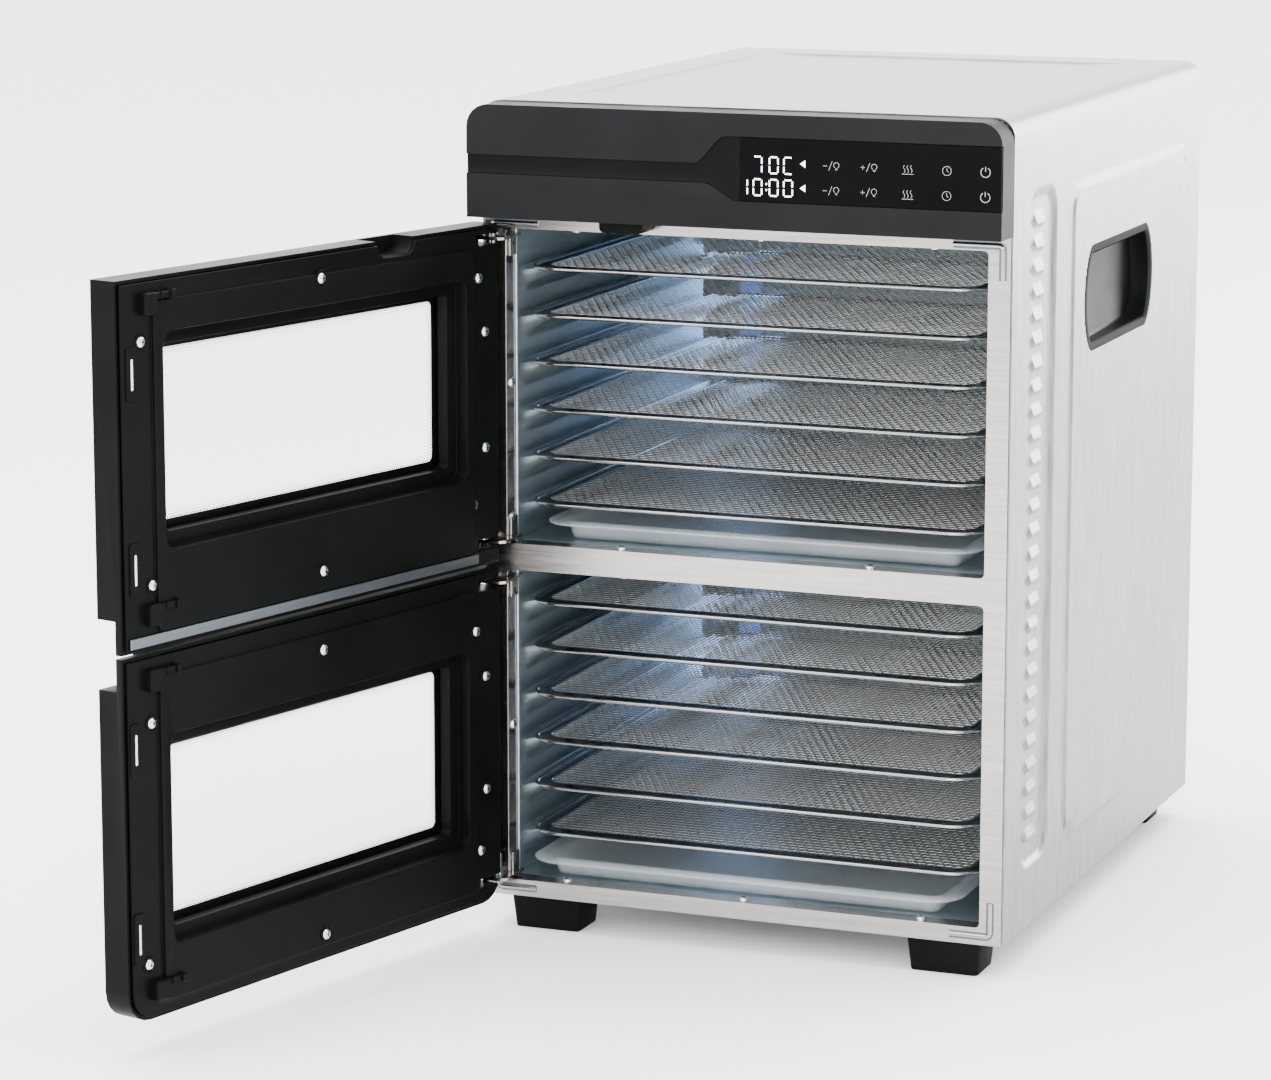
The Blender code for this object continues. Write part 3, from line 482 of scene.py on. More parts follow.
# %% The two sides, the top and their bends
HANDLE = ((0.159, 0.3515), (0.312, 0.4100))  # pocket outline, as Y behind the front plane and Z
side_y = dense((0.0003, 0.034, 0.011), (0.032, 0.044, 0.0015), (0.044, 0.076, 0.00116), (0.076, 0.095, 0.0015),
               (0.095, 0.126, 0.010), (0.126, 0.133, 0.001), (0.133, 0.153, 0.010), (0.153, 0.184, 0.002),
               (0.184, 0.288, 0.013), (0.288, 0.319, 0.002), (0.319, 0.405, 0.017), (0.405, 0.412, 0.001),
               (0.412, 0.444, 0.016)) + FRONT
side_z = dense((0.0, 0.032, 0.010), (0.032, 0.050, 0.0015), (0.050, 0.452, LOUVRE_PITCH / 15), (0.452, 0.464, 0.0015),
               (0.464, TOP - BEND - SEAM, 0.010))


def hem(points, inward, low_column):
    """Folds a grid's first and last rows, and its first column if asked, in by one sheet, so that it shows as thick."""
    inner = points + np.asarray(inward) * SHEET
    framed, inner = (np.concatenate([inner[:1], grid, inner[-1:]]) for grid in (points, inner))
    return np.concatenate([inner[:, :1], framed], 1) if low_column else framed


for name, side in (("right", 1), ("left", -1)):
    y, z = np.meshgrid(side_y, side_z, indexing="ij")
    x = side * (HALF + side_relief(y, z))
    points = hem(np.stack([x, y, z], -1), (-side, 0, 0), True)
    rows, cols = points.shape[:2]
    quads = grid_quads(rows, cols)
    middle = points.reshape(-1, 3)[quads].mean(1)
    cut_out = field(middle[:, 1] - FRONT, middle[:, 2], np.array(HANDLE[0]) - 0.0035, np.array(HANDLE[1]) + 0.0035,
                    0.0215, 1e-5) > 0.5
    quads = quads[~cut_out]
    show(f"wrap_{name}_side", mesh_from(f"wrap_{name}_side", points, quads if side > 0 else quads[:, ::-1]),
         "brushed 430 stainless sheet", stands_for=["outer_wrap"])

turn = np.linspace(0, math.pi / 2, 9)
bend = np.c_[HALF - BEND + BEND * np.cos(turn), TOP - BEND + BEND * np.sin(turn)]
top_x = dense((-0.160, -0.136, 0.012), (-0.136, -0.126, 0.001), (-0.126, 0.126, 0.025), (0.126, 0.136, 0.001),
              (0.136, 0.160, 0.012))[::-1]
section = np.concatenate([[(HALF, TOP - BEND - SEAM)], bend[:-1], np.c_[top_x, np.full(len(top_x), TOP)],
                          (bend * (-1, 1))[::-1][1:], [(-HALF, TOP - BEND - SEAM)]])
top_y = dense((0.0003, 0.040, 0.013), (0.040, 0.050, 0.001), (0.050, 0.400, 0.035), (0.400, 0.410, 0.001),
              (0.410, 0.444, 0.017)) + FRONT
y, x = np.meshgrid(top_y, section[:, 0], indexing="ij")
sunk = TOP_DEPTH * field(x, y - FRONT, (-0.131, 0.045), (0.131, 0.405), 0.022, 0.004)
z = np.broadcast_to(section[:, 1], x.shape) - sunk
points = hem(np.stack([x, y, z], -1), (0, 0, -1), False)
show("wrap_top", mesh_from("wrap_top", points, grid_quads(*points.shape[:2])),
     "brushed 430 stainless sheet", stands_for=["outer_wrap"])

# %% [markdown]
# ## Front frame, screws and hinge straps
# The frame is stamped from one sheet, with a rim turned into each mouth. Pressed L-shaped beads stiffen its four
# corners, each with a thin grey strip at its foot as a painted shadow. Dome-head screws, each with a dark cross as
# painted shade for its recess, hold the rim to the chamber: three down each side of each mouth, and a few along the
# header and the sills.

# %% Frame and beads
softened("front_frame", "bright brushed stainless", 0.0006)
for hinge in ("upper_top", "upper_bottom", "lower_top", "lower_bottom"):
    softened(f"hinge_{hinge}", "bright brushed stainless", 0.0003, 1)

half_turn = np.linspace(0, math.pi, 9)
bead_section = np.c_[0.0017 * np.cos(half_turn), 0.0016 * np.sin(half_turn) - 0.0002]
bead_shadow_section = [(0.0025, 0.0001), (-0.0025, 0.0001)]
BEADS = ((0.1662, 0.4333, 0.4123, 0.135), (0.1640, 0.0058, 0.0273, 0.138))  # outer X, level Z, end Z, inner X
BEAD_BEND = 0.003


def bead_path(side, outer, level, leg, inner):
    """An L of two straight legs joined by a quarter circle."""
    turn, up = np.linspace(0, math.pi / 2, 7), 1 if leg > level else -1
    corner = np.c_[outer - BEAD_BEND + BEAD_BEND * np.sin(turn), level + up * BEAD_BEND * (1 - np.cos(turn))]
    line = np.concatenate([[[inner, level]], corner, [[outer, leg]]])
    return np.c_[side * line[:, 0], np.full(len(line), FRONT), line[:, 1]][::side]


bead_paths = [bead_path(side, *bead) for side in (1, -1) for bead in BEADS]
mesh = mesh_from("frame_beads", *join([sweep(path, bead_section) for path in bead_paths]))
outward(mesh)
show("frame_beads", mesh, "polished stainless border")
# a flat grey strip along the foot of each bead: a painted shadow
mesh = mesh_from("frame_bead_shadows", *join([sweep(path, bead_shadow_section, tube=False) for path in bead_paths]))
show("frame_bead_shadows", mesh, "satin grey trim and painted bead shadow")

# %% Screw heads
dome = turned([(0.0034, 0.0), (0.0034, 0.0005), (0.0031, 0.0011), (0.0024, 0.0016), (0.0012, 0.0019),
               (0.0003, 0.0020)])
# a dark cross set into each dome: painted shade for the cross recess
cross = join([stack((-0.0014, -0.0003), (0.0014, 0.0003), 0.0001, [(0, 0.0012), (0, 0.0021)], steps=1),
              stack((-0.0003, -0.0014), (0.0003, -0.0003), 0.0001, [(0, 0.0012), (0, 0.00209)], steps=1),
              stack((-0.0003, 0.0003), (0.0003, 0.0014), 0.0001, [(0, 0.0012), (0, 0.00209)], steps=1)])


def screws(name, groups, body="root"):
    """Dome heads with a dark cross in each, painted shade for the cross recess; groups hold (facing, places). Those on
    a door are swung open with it.
    """
    for label, shape, material in (("heads", dome, "zinc plated screw"), ("recess_shades", cross, "satin black ABS")):
        points, quads, caps = join([copies(shape, places, facing) for facing, places in groups])
        mesh = mesh_from(f"{name}_{label}", points if body == "root" else swing(points), quads, caps)
        outward(mesh)
        show(f"{name}_{label}", mesh, material, body)


hinge = next(j for j in frame["joints"] if j["name"] == "upper_door_hinge")
PIVOT = np.array(hinge["pos_m"][:2])
OPEN = math.radians(hinge["range_deg"][0])  # from shut to the open rest position


def swing(points):
    """Turns points from where they are with the doors shut to where they are at rest, about the hinge line."""
    points = np.array(points, float)
    c, s = math.cos(OPEN), math.sin(OPEN)
    x, y = (points[..., 0] - PIVOT[0]).copy(), (points[..., 1] - PIVOT[1]).copy()
    points[..., 0], points[..., 1] = PIVOT[0] + c * x - s * y, PIVOT[1] + s * x + c * y
    return points


MOUTH = 0.157  # half the mouths' width
UPPER, LOWER = (0.2300, 0.4298), (0.0110, 0.2128)  # Z of each mouth's sill and header
RIM_HEIGHTS = (0.4195, 0.3315, 0.2450, 0.1970, 0.1106, 0.0230)


def along(places, y, z):
    """Points at several X on one line."""
    return [(x, FRONT + y, z) for x in places]


screws("frame_screws", [
    ("+X", [(-MOUTH, FRONT + 0.0078, z) for z in RIM_HEIGHTS]),
    ("-X", [(MOUTH, FRONT + 0.0078, z) for z in RIM_HEIGHTS]),
    ("-Z", along((-0.112, 0.010, 0.121), 0.0070, UPPER[1]) + along((-0.08, 0.08), 0.0070, LOWER[1])),
    ("+Z", along((-0.082, 0.082), 0.0070, UPPER[0]) + along((-0.120, 0.0, 0.117), 0.0080, LOWER[0])),
])

# %% [markdown]
# ## Chambers
# Each side wall is pressed into six rounded ledges that carry the trays. A ledge is a smooth bulge: flat on
# top where the tray lies, round at its nose and sloping back below, and it tapers away towards the front.
# The lamp at the back throws a blue glow along the left wall.

# %% Chamber walls and hidden metal
CHAMBERS = {"upper": (UPPER, 0.4048), "lower": (LOWER, 0.1908)}  # each one's mouth, and Z of its top tray
PITCH, TRAYS = 0.030, 6
for chamber, (mouth, tray_top) in CHAMBERS.items():
    for name, side in (("left", -1), ("right", 1)):
        y, z = np.meshgrid(dense((0.0143, 0.060, 0.0028), (0.060, 0.3697, 0.03)) + FRONT,
                           dense((mouth[0] + 0.0004, mouth[1] - 0.0004, 0.0011)), indexing="ij")
        level = (tray_top - 0.0024) - z
        number = np.clip(np.round((level - 0.005) / PITCH), 0, TRAYS - 1)
        below = level - number * PITCH
        bulge = step(below, -0.0004, 0.0012) * (1 - step(below, 0.0022, 0.0165))
        reach = 0.0108 * bulge * step(y - FRONT, 0.016, 0.040)
        points = np.stack([side * (MOUTH - reach), y, z], -1)
        quads = grid_quads(*y.shape)
        mesh = mesh_from(f"{chamber}_{name}_ledges", points, quads if side < 0 else quads[:, ::-1])
        wall = show(mesh.name, mesh, "satin 304 chamber sheet", stands_for=[f"{chamber}_{name}_wall"])
        sheet = wall.modifiers.new("sheet", "SOLIDIFY")
        sheet.thickness, sheet.offset = 0.0009, -1
    dress("satin 304 chamber sheet", f"{chamber}_ceiling", f"{chamber}_floor")
    dress("perforated chamber sheet", f"{chamber}_baffle")
    dress("turned motor steel", f"{chamber}_fan", f"{chamber}_fan_motor")
    dress("oxidised heater sheath", f"{chamber}_heater")
    dress("milky lamp lens", f"{chamber}_lamp")
dress("galvanised sheet", "base_pan", "rear_panel")
dress("green solder mask", "control_board", "power_board")
dress("gloss black acrylic", "display_module")
REAR = 0.4425  # the rear panel's face, behind the front plane
screws("rear_screws", [("+Y", [(x, FRONT + REAR, z) for x in (-0.155, 0.155) for z in (0.020, 0.180, 0.340, 0.490)]
                        + [(x, FRONT + REAR, z) for x in (-0.06, 0.06) for z in (0.020, 0.490)])])

# %% [markdown]
# ## Mesh trays
# A tray is a pressed border with a rolled outer edge, a dished band and a lip that clamps the wire.
# The deck is a plain weave: every wire rises over one neighbour and dips under the next, so its height
# alternates between crossings. Real wires lie about 2 mm apart; they are set 3 mm and 6 mm apart here, so that
# they show from the front. A wire has three sides, which is enough for its width and keeps twelve trays light.

# %% Woven deck and pressed border
TRAY = ((-0.151, FRONT + 0.012), (0.151, FRONT + 0.365))
BORDER, FRONT_EXTRA = 0.0090, 0.0040
SPACING = (0.0030, 0.0060)  # between the wires that run back, and between those that run across
WIRE = np.array([(0.0, 0.00018), (-0.00048, -0.00012), (0.00048, -0.00012)])  # rolled flat: across and up
WAVE = 0.00013  # how far a wire rises over a neighbour or dips under it
PAINTED_SHADE_BELOW, PAINTED_HIGHLIGHT_ABOVE = -0.00022, 0.00024  # heights where the painted shade and the painted highlight are full


def deck():
    """All wires of one deck. Point i, j of a wire along Y sits where it crosses wire j; its height is plus or minus
    WAVE by the parity of i + j, and the other set takes the opposite sign. Only stretches inside the border stay."""
    low, high = np.array(TRAY[0]) + (BORDER, BORDER + FRONT_EXTRA), np.array(TRAY[1]) - BORDER
    xs, ys = (np.arange(*span) for span in zip(low, high, SPACING))
    x, y = np.meshgrid(xs, ys, indexing="ij")
    parity = np.where((np.add.outer(np.arange(len(xs)), np.arange(len(ys))) % 2) == 0, 1.0, -1.0) * WAVE
    inside = field(x, y, low - 0.0005, high + 0.0005, 0.0135, 1e-6) > 0.5
    sets = []
    for flip in (False, True):
        a, b, rise, keep = (x.T, y.T, -parity.T, inside.T) if flip else (x, y, parity, inside)
        out, up = WIRE.T
        px = a[..., None] + (0 if flip else out)
        py = b[..., None] + (out if flip else 0)
        points = np.stack(np.broadcast_arrays(px, py, rise[..., None] + up), -1)
        n, m = a.shape
        i, j, k = np.meshgrid(np.arange(n), np.arange(m - 1), np.arange(3), indexing="ij")
        at = lambda jj, kk: (i * m + jj) * 3 + kk % 3
        quads = np.stack([at(j, k), at(j, k + 1), at(j + 1, k + 1), at(j + 1, k)], -1)
        quads = quads[keep[:, :-1] & keep[:, 1:]].reshape(-1, 4)
        used, new = np.unique(quads, return_inverse=True)
        sets.append((points.reshape(-1, 3)[used], new.reshape(-1, 4)[:, ::1 if flip else -1], ()))
    return join(sets)


deck_points, deck_quads, _ = deck()
# 0 is full painted shade in the dips, 1 is full painted highlight on the ridges
deck_painted_light = np.clip((deck_points[:, 2] - PAINTED_SHADE_BELOW) / (PAINTED_HIGHLIGHT_ABOVE - PAINTED_SHADE_BELOW), 0, 1).astype(np.float32)
roll = np.linspace(-0.75 * math.pi, 0.75 * math.pi, 11)
ROLL = 0.0012  # radius of the rolled outer edge
BORDER_PROFILE = ([(ROLL - ROLL * math.cos(a), -ROLL - ROLL * math.sin(a)) for a in roll[::-1]]
                  + [(0.0030, -0.0022), (0.0060, -0.0022, FRONT_EXTRA), (0.0080, -0.0019, FRONT_EXTRA),
                     (0.0093, -0.0019, FRONT_EXTRA), (0.0096, -0.0012, FRONT_EXTRA), (0.0092, -0.0007, FRONT_EXTRA),
                     (0.0084, -0.0006, FRONT_EXTRA), (0.0074, -0.0010, FRONT_EXTRA * 0.8),
                     (0.0056, -0.0018, FRONT_EXTRA / 2), (0.0036, -0.0018, 0.0008), (0.0026, -0.0012)])
for chamber, (_, tray_top) in CHAMBERS.items():
    for number in range(TRAYS):
        name, height = f"{chamber}_tray_{number + 1}", tray_top - number * PITCH
        levels = [(inset, height + rise, *extra) for inset, rise, *extra in BORDER_PROFILE]
        rim = stacked(name + "_border", *TRAY, 0.022, levels, ring=True)
        show(rim.name, rim, "polished stainless border", name + "_body", [name])
        weave = mesh_from(name + "_weave", deck_points + (0, 0, height - 0.0013), deck_quads)
        weave.attributes.new("painted_light", "FLOAT", "POINT").data.foreach_set("value", deck_painted_light)
        show(weave.name, weave, "woven stainless wire", name + "_body", sharp=180)

# %% [markdown]
# ## Drip trays
# A drip tray is thermoformed frosted plastic: a flat rim all round and a shallow pan with sloping walls.
# The profile runs from the middle of the pan up over the rim and back underneath, so the wall has a thickness.

# %% Drip trays
for chamber, shift, near, bottom in (("upper", 0.004, 0.010, 0.2303), ("lower", -0.004, 0.004, 0.0113)):
    low, high = (shift - 0.144, FRONT + near), (shift + 0.144, FRONT + near + 0.340)
    rows = [(0.060, 0.0015), (0.020, 0.0015), (0.0175, 0.0019), (0.0160, 0.0030), (0.0142, 0.0108), (0.0132, 0.0119),
            (0.0120, 0.0123), (0.0010, 0.0123), (0.0002, 0.0120), (0.0000, 0.0115), (0.0002, 0.0110), (0.0010, 0.0108),
            (0.0120, 0.0108), (0.0130, 0.0100), (0.0150, 0.0020), (0.0168, 0.0004), (0.0190, 0.0), (0.060, 0.0)]
    pan = stacked(f"{chamber}_drip_pan", low, high, 0.022, [(inset, bottom + height) for inset, height in rows])
    show(pan.name, pan, "frosted polypropylene", f"{chamber}_drip_tray_body", [f"{chamber}_drip_tray"])

# %% [markdown]
# ## Doors
# Each door is an outer ABS shell, an inner liner with a stepped funnel round the window, and a glass pane.
# The liner carries pan-head screws in dark rings, two magnet bars at its free edge and two moulded catches.
# Everything is laid out with the door shut, where its X and Z are the cabinet's, then swung open.
# The glass has a printed border that ends in rows of shrinking dots, which hides the glue line.

# %% Shells, liners and glass
for door in ("upper", "lower"):
    softened(f"{door}_door_shell", "satin black ABS", 0.0007)
    softened(f"{door}_door_liner", "satin black ABS", 0.0006)
    dress("toughened window glass", f"{door}_door_glass")
softened("upper_door_strip", "satin grey trim and painted bead shadow", 0.0004)
FACE, RAISED = FRONT - 0.0030, FRONT - 0.0010


def on_door(name, parts, material, door):
    """Parts laid out with the door shut, joined, swung open and left to ride on that door."""
    points, quads, caps = join(parts)
    mesh = mesh_from(name, swing(points), quads, caps)
    outward(mesh)
    return show(name, mesh, material, f"{door}_door")


def pad(x, z, y, soft=0.0004, radius=0.001):
    """A small moulded block between two heights, with a chamfered face."""
    return stack((x[0], z[0]), (x[1], z[1]), radius, [(0, y[0]), (0, y[1] - soft), (soft, y[1])], "front", 4)


# %% Printed border of the glass
WINDOW = np.array([0.1285, 0.0545])  # half its width and height
BAND, HIDDEN = np.array([0.0030, 0.0045]), 0.012  # the band's width inside the window, and how far it runs on outside
PRINT_AT = FRONT - 0.02042  # just behind the glass
DOTS = ((0.0007, 0.0035, 0.00062), (0.0024, 0.0027, 0.00048), (0.0041, 0.0019, 0.00032))  # inset, corner, radius
DOT_SPACING = 0.0020


def glass_border(door, middle):
    """A printed band round a window, then three rows of dots that shrink inwards; middle is the window's own Z."""
    loops = np.stack([rounded_loop(-WINDOW - HIDDEN, WINDOW + HIDDEN, 0.0040),
                      rounded_loop(-WINDOW + BAND, WINDOW - BAND, 0.0040)])
    band = np.stack([loops[..., 0], np.full(loops.shape[:2], PRINT_AT), loops[..., 1] + middle], -1)
    mesh = mesh_from(f"{door}_glass_band", swing(band), grid_quads(2, band.shape[1], False, True))
    show(mesh.name, mesh, "black glass print", f"{door}_door")
    eighths, discs = np.arange(8) * math.tau / 8, []
    for inset, corner, radius in DOTS:
        reach = WINDOW - BAND - inset
        loop = rounded_loop(-reach, reach, corner, 3)
        circle = np.stack([radius * np.cos(eighths), np.zeros(8), radius * np.sin(eighths)], -1)
        for start, end in zip(loop, np.roll(loop, -1, 0)):
            count = max(int(np.linalg.norm(end - start) / DOT_SPACING), 1)
            places = start + (end - start) * (np.arange(count) / count)[:, None]
            centre = np.c_[places[:, 0], np.full(count, PRINT_AT), places[:, 1] + middle]
            discs.append((centre[:, None] + circle).reshape(-1, 3))
    points = np.concatenate(discs)
    faces = np.arange(len(points)).reshape(-1, 8)[:, ::-1]
    mesh = mesh_from(f"{door}_glass_dots", swing(points), np.zeros((0, 4), int), faces)
    show(mesh.name, mesh, "black glass print", f"{door}_door")


# %% Liner details
# Screws as X and Z; X and Z of the magnets and catches; Z of the window's middle; Z of the liner's foot and head
LINER = {
    "upper": {"screws": [(0, .418), (.154, .398), (-.151, .402), (-.157, .368), (-.157, .295), (-.145, .260),
                         (.001, .242), (.148, .257)],
              "magnets": [.3803, .2680], "magnet_x": .1625, "catches": [(.4130, .4260), (.2340, .2470)],
              "catch_x": .1290, "middle": .3390, "ends": (.2195, .4340)},
    "lower": {"screws": [(.002, .194), (-.144, .180), (-.156, .149), (-.156, .076), (-.150, .037), (.151, .177),
                         (.157, .035), (.003, .018)],
              "magnets": [.1638, .0518], "magnet_x": .1650, "catches": [(.1960, .2090), (.0130, .0250)],
              "catch_x": .1300, "middle": .1050, "ends": (.0010, .2175)},
}
RING = turned([(0.0052, -0.0002), (0.0052, 0.0004), (0.0049, 0.0007), (0.0044, 0.0007), (0.0041, 0.0004),
               (0.0041, -0.0002)], 24)
for door, plan in LINER.items():
    foot, head = plan["ends"]
    spots = [(x, RAISED if abs(x) < 0.145 and foot + 0.010 < z < head - 0.0135 else FACE, z)
             for x, z in plan["screws"]]
    screws(f"{door}_door_screws", [("+Y", spots)], f"{door}_door")
    on_door(f"{door}_screw_rings", [copies((*RING[:2], ()), spots, "+Y")], "satin black ABS", door)
    x = plan["magnet_x"]
    seats = [pad((x - .0042, x + .0042), (z - .0155, z + .0155), (FACE - .0002, FACE + .0011), radius=.002)
             for z in plan["magnets"]]
    on_door(f"{door}_magnet_seats", seats, "satin black ABS", door)
    magnets = [pad((x - .0008, x + .0008), (z - .0090, z + .0090), (FACE, FACE + .0014), .0002, .0005)
               for z in plan["magnets"]]
    on_door(f"{door}_magnet_bars", magnets, "zinc plated screw", door)
    catches, x = [], plan["catch_x"]
    for low, high in plan["catches"]:
        catches += [pad((x + .0150, x + .0260), (low, high), (FACE - .0002, FACE + .0055), .0008, .002),
                    pad((x, x + .0255), (high - .0046, high - .0006), (FACE - .0002, FACE + .0042), .0005),
                    pad((x, x + .0040), (high - .0050, high + .0002), (FACE - .0002, FACE + .0058), .0005),
                    pad((x + .0095, x + .0120), (high - .0048, high - .0002), (FACE - .0002, FACE + .0050), .0004)]
    on_door(f"{door}_catches", catches, "satin black ABS", door)
    glass_border(door, plan["middle"])

# %% [markdown]
# ## Fascia, display and keys
# The fascia is charcoal ABS with a groove that widens into a gloss touch panel; a darker plate on the groove's floor is
# painted shade. Its display shows a temperature and a time in seven-segment figures. The key prints are plain drawings:
# a lamp, warmth, a clock and power.

# %% Fascia and touch panel
softened("fascia", "charcoal ABS", 0.0007)
softened("touch_panel", "gloss black acrylic", 0.0003)
softened("door_switch_housing", "satin black ABS", 0.0005)
GROOVE_ENDS = (-0.1720, 0.0073)  # X where the groove starts and where it meets the touch panel
GROOVE_FLOOR = FRONT - 0.025
GROOVE_SLOPE = np.array([0.0016, 0.0015, 0.0002])[:, None]  # how far its top, fold and foot lie behind that


def groove_edge(start, end, narrow, wide):
    """One edge of the groove as X and Z: level, an S-curve from one X to another, and level again."""
    curve = np.c_[np.linspace(start, end, 13), narrow + (wide - narrow) * step(np.linspace(0, 1, 13), 0, 1)]
    return np.concatenate([[[GROOVE_ENDS[0], narrow]], curve, [[GROOVE_ENDS[1], wide]]])


lower = groove_edge(-0.0160, 0.0064, 0.4669, 0.4564)
upper = groove_edge(-0.0225, -0.0021, 0.4779, 0.4949)
lines = np.stack([upper, upper * 0.25 + lower * 0.75, lower])
groove = np.stack([lines[..., 0], GROOVE_FLOOR + np.broadcast_to(GROOVE_SLOPE, lines.shape[:2]), lines[..., 1]], -1)
# a darker plate on the groove's floor: painted shade in the recess
show("groove_shade_plate", mesh_from("groove_shade_plate", groove, grid_quads(*groove.shape[:2])), "charcoal ABS with painted recess shade")

# %% Figures and key prints
PRINT_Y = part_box("touch_panel")[0].y - 0.00006  # just in front of the panel


def stroke(points, width=0.00026):
    """A flat line of one width through points given as X and Z."""
    path = np.array([(x, PRINT_Y, z) for x, z in points])
    return sweep(path, [(-width / 2, 0), (width / 2, 0)], tube=False)


def arc(x, z, radius, start, end, count=17):
    """Points on a circle between two angles in degrees."""
    turn = np.radians(np.linspace(start, end, count))
    return np.c_[x + radius * np.cos(turn), z + radius * np.sin(turn)]


SEGMENTS = {"0": "abcdef", "1": "bc", "7": "abc", "C": "adef"}
SEGMENT_ENDS = {"a": ((0, 2), (1, 2)), "b": ((1, 2), (1, 1)), "c": ((1, 1), (1, 0)), "d": ((0, 0), (1, 0)),
                "e": ((0, 1), (0, 0)), "f": ((0, 2), (0, 1))}


def figure(letter, x, z, wide=0.0054, high=0.0098):
    """One seven-segment figure: each lit bar runs between two corners of the eight, shortened to leave a gap."""
    lit = []
    for key in SEGMENTS[letter]:
        a, b = (np.array(end) * (wide, high / 2) for end in SEGMENT_ENDS[key])
        cut = (b - a) / np.linalg.norm(b - a) * 0.0006
        lit.append(stroke([(x, z) + a + cut, (x, z) + b - cut], 0.00085))
    return lit


def flat_piece(name, parts, material):
    """Several flat prints as one piece."""
    points, quads, _ = join(parts)
    show(name, mesh_from(name, points, quads), material)


COLUMNS = (0.0163, 0.0266, 0.0358)
bars = []
for letters, base in (("70C", 0.4739), ("000", 0.4603)):
    for letter, x in zip(letters, COLUMNS):
        bars += figure(letter, x, base)
bars += figure("1", 0.0070, 0.4603)
bars += [stroke([(0.0246, z), (0.0246, z + 0.0010)], 0.0009) for z in (0.4632, 0.4668)]
for z in (0.4803, 0.4656):  # arrowheads that point left at the two lines
    tip = [(0.0462, PRINT_Y, z + 0.0001), (0.0462, PRINT_Y, z - 0.0001)]
    back = [(0.0494, PRINT_Y, z + 0.0022), (0.0494, PRINT_Y, z - 0.0022)]
    bars.append((np.array(tip + back), grid_quads(2, 2), ()))
flat_piece("display_figures", bars, "white display segment")

CLOCK_X, POWER_X = 0.1382, 0.1621
keys = []
for z in (0.4797, 0.4648):
    for x, plus in ((0.0656, False), (0.0894, True)):
        keys += [stroke([(x - .0050, z), (x - .0024, z)]), stroke([(x - .0014, z - .0026), (x + .0008, z + .0028)])]
        if plus:
            keys.append(stroke([(x - .0037, z - .0013), (x - .0037, z + .0013)]))
        keys += [stroke(arc(x + .0035, z + .0006, .0017, -60, 240, 13)),
                 stroke([(x + .0027, z - .0015), (x + .0043, z - .0015)]),
                 stroke([(x + .0029, z - .0021), (x + .0041, z - .0021)])]
    wave = np.linspace(0, 1, 13)
    for x in (0.1117, 0.1139, 0.1161):
        keys.append(stroke(np.c_[x + 0.0005 * np.sin(wave * math.tau), z - 0.0020 + wave * 0.0044]))
    keys.append(stroke([(0.1103, z - .0029), (0.1175, z - .0029)]))
    keys += [stroke(arc(CLOCK_X, z, .0027, 0, 360, 25)), stroke([(CLOCK_X, z + .0017), (CLOCK_X, z)]),
             stroke([(CLOCK_X, z), (CLOCK_X + .0012, z - .0007)])]
    keys += [stroke(arc(POWER_X, z, .0029, 120, 420, 25), 0.0004),
             stroke([(POWER_X, z + .0034), (POWER_X, z + .0004)], 0.0004)]
flat_piece("key_prints", keys, "pale key print")

# %% [markdown]
# ## Handles and feet
# Each side has a moulded finger cup: a proud bezel with flattened corners round a pocket whose floor runs
# deeper towards the back, in darker plastic as painted shade. The feet and the cable gland keep their imported shape
# with softer edges.

# %% Handles
for name, side in (("right", 1), ("left", -1)):
    low, high = np.array(HANDLE[0]) + (FRONT, 0), np.array(HANDLE[1]) + (FRONT, 0)
    bezel = [(-0.0050, 0.0003), (-0.0050, 0.0012), (-0.0046, 0.0017), (-0.0040, 0.0018), (-0.0008, 0.0018),
             (0.0, 0.0014), (0.0006, 0.0004), (0.0010, -0.0010)]
    pocket = [(0.0012, 0.0002), (0.0014, -0.0040), (0.0018, -0.0095), (0.0028, -0.0111), (0.0047, -0.0115),
              (0.0240, -0.0115)]
    # the pocket takes darker plastic than the bezel: painted shade in the finger cup
    for label, rows, material in (("bezel", bezel, "grained grey polypropylene"),
                                  ("pocket", pocket, "charcoal ABS with painted recess shade")):
        levels = [(inset, HALF + height) for inset, height in rows]
        points, quads, caps = stack(low, high, (0.013, 0.027), levels, "side", 10, power=1.7)
        depth = np.clip(HALF - 0.0004 - points[:, 0], 0, None)
        points[:, 0] += depth * (1 - step(points[:, 1] - FRONT, 0.160, 0.262)) * 0.62
        points[:, 0] *= side
        caps = [cap[::-side] for cap in caps[1:] if label == "pocket"]
        mesh = mesh_from(f"{name}_{label}", points, quads[:, ::-side], caps)
        show(mesh.name, mesh, material, stands_for=[f"{name}_handle"])
for end in ("front", "rear"):
    for side in ("left", "right"):
        softened(f"{end}_{side}_foot", "matt black foot moulding", 0.0008)
softened("cord_gland", "satin black ABS", 0.0004)

# %% [markdown]
# ## Floor, light and camera
# The cabinet stands on a pale floor under a soft sky that brightens towards the back left. Large soft lamps in
# front, at the right, above and behind give the steel its gradients, and two small blue lamps stand for the
# chamber lights.

# %% Stage
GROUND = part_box("front_left_foot")[0].z
FAR = 30  # half the floor's width
floor = mesh_from("floor", [(-FAR, -FAR, GROUND), (FAR, -FAR, GROUND), (FAR, FAR, GROUND), (-FAR, FAR, GROUND)],
                  [(0, 1, 2, 3)])
floor_piece = bpy.data.objects.new("floor", floor)
bpy.context.scene.collection.objects.link(floor_piece)
paper = bpy.data.materials.new("pale floor")
paper.use_nodes = True
paper_shader = paper.node_tree.nodes["Principled BSDF"]
paper_shader.inputs["Base Color"].default_value = linear("#f7f7f7")
paper_shader.inputs["Roughness"].default_value = 0.9
floor.materials.append(paper)

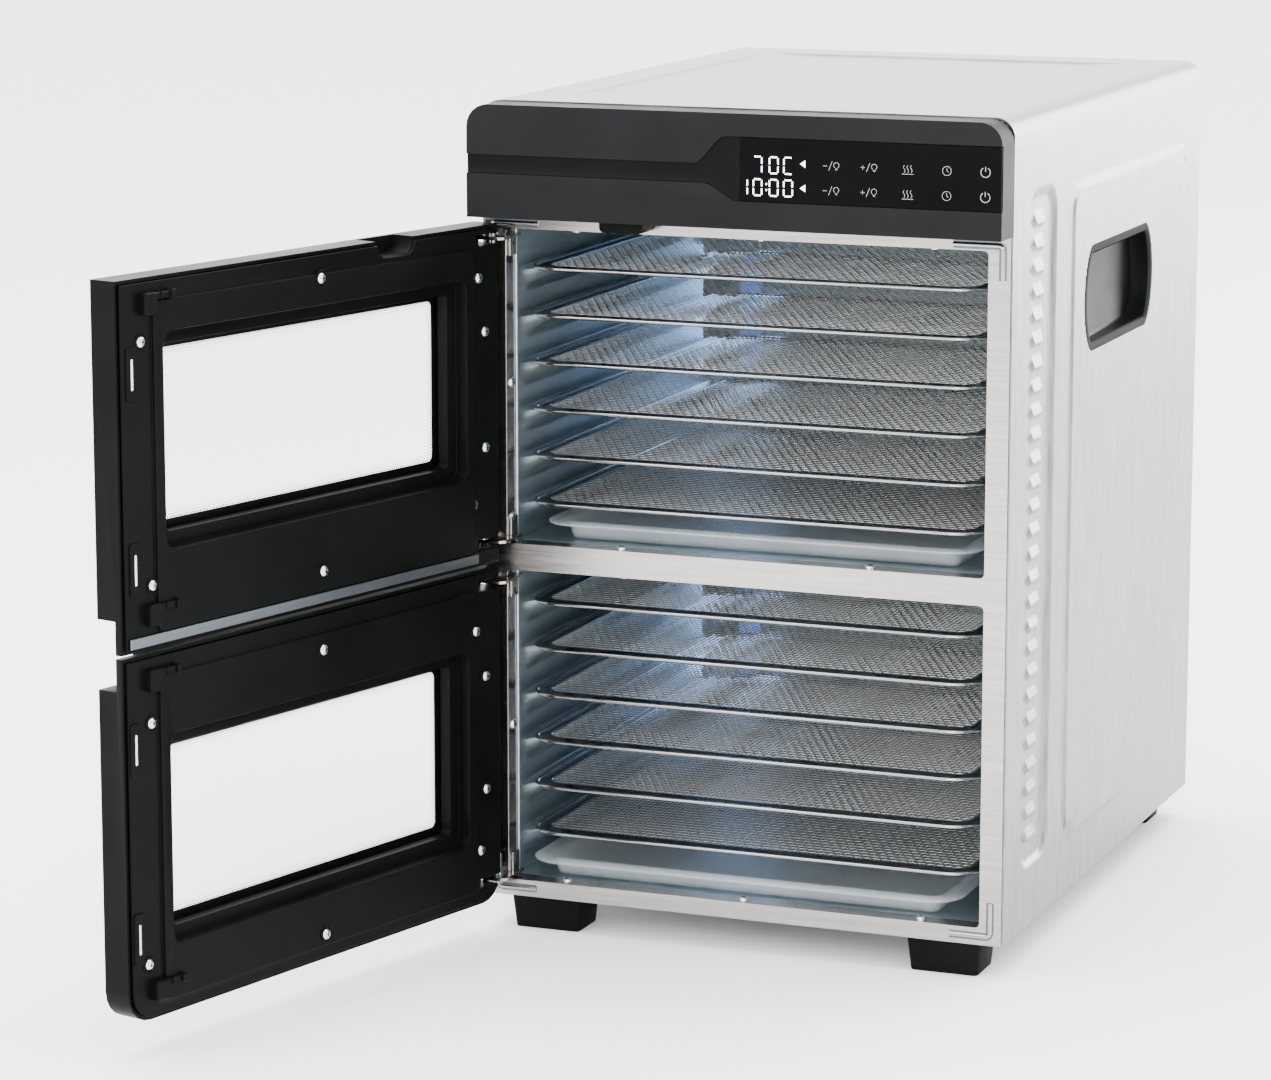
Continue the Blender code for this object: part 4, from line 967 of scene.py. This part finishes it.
world = bpy.data.worlds.new("soft sky")
world.use_nodes = True
sky = world.node_tree
place = add(sky, "TexCoord")
toward = add(sky, "VectorMath", {1: (-0.40, 0.72, 0.57)}, {0: place.outputs["Generated"]}, operation="DOT_PRODUCT")
ramp = add(sky, "MapRange", {"From Min": -0.8, "From Max": 0.8, "To Min": 0.6, "To Max": 5.4},
           {"Value": toward.outputs["Value"]})
sky.links.new(ramp.outputs[0], sky.nodes["Background"].inputs["Strength"])
sky.nodes["Background"].inputs["Color"].default_value = (1, 1, 1, 1)
bpy.context.scene.world = world


def soft_lamp(name, place, aim, size, power, colour=(1, 1, 1)):
    """A square area lamp turned to face a point."""
    lamp = bpy.data.lights.new(name, "AREA")
    lamp.shape, lamp.size, lamp.energy, lamp.color = "SQUARE", size, power, colour
    piece = bpy.data.objects.new(name, lamp)
    piece.location = place
    piece.rotation_euler = (Vector(aim) - Vector(place)).to_track_quat("-Z", "Y").to_euler()
    bpy.context.scene.collection.objects.link(piece)


soft_lamp("key_lamp", (-1.6, -2.6, 2.2), (0, 0, 0.25), 1.6, 60)
soft_lamp("right_lamp", (2.8, -0.6, 1.6), (0.1, 0, 0.25), 1.6, 25)
soft_lamp("top_lamp", (0, 0.2, 3.0), (0, 0, 0), 2.2, 90)
soft_lamp("front_lamp", (0.5, -2.6, 1.0), (0, 0, 0.22), 1.2, 60)
soft_lamp("rear_lamp", (1.7, 3.6, 1.0), (0.1, 0, 0.25), 2.0, 150)
BLUE = (0.38, 0.60, 1.0)
for chamber, z in (("upper", 0.335), ("lower", 0.115)):
    soft_lamp(f"{chamber}_glow", (-0.128, FRONT + 0.360, z), (0.02, FRONT + 0.05, z), 0.09, 0.2, BLUE)

camera = bpy.data.objects.new("camera", bpy.data.cameras.new("camera"))
camera.location = (0.9123, -2.7034, 0.7547)
camera.rotation_euler = (math.pi / 2 - 0.1767, 0, 0.3769)
camera.data.lens, camera.data.sensor_width, camera.data.shift_y = 123.3, 36, -0.05
camera.data.clip_end = 100
bpy.context.scene.collection.objects.link(camera)
bpy.context.scene.camera = camera
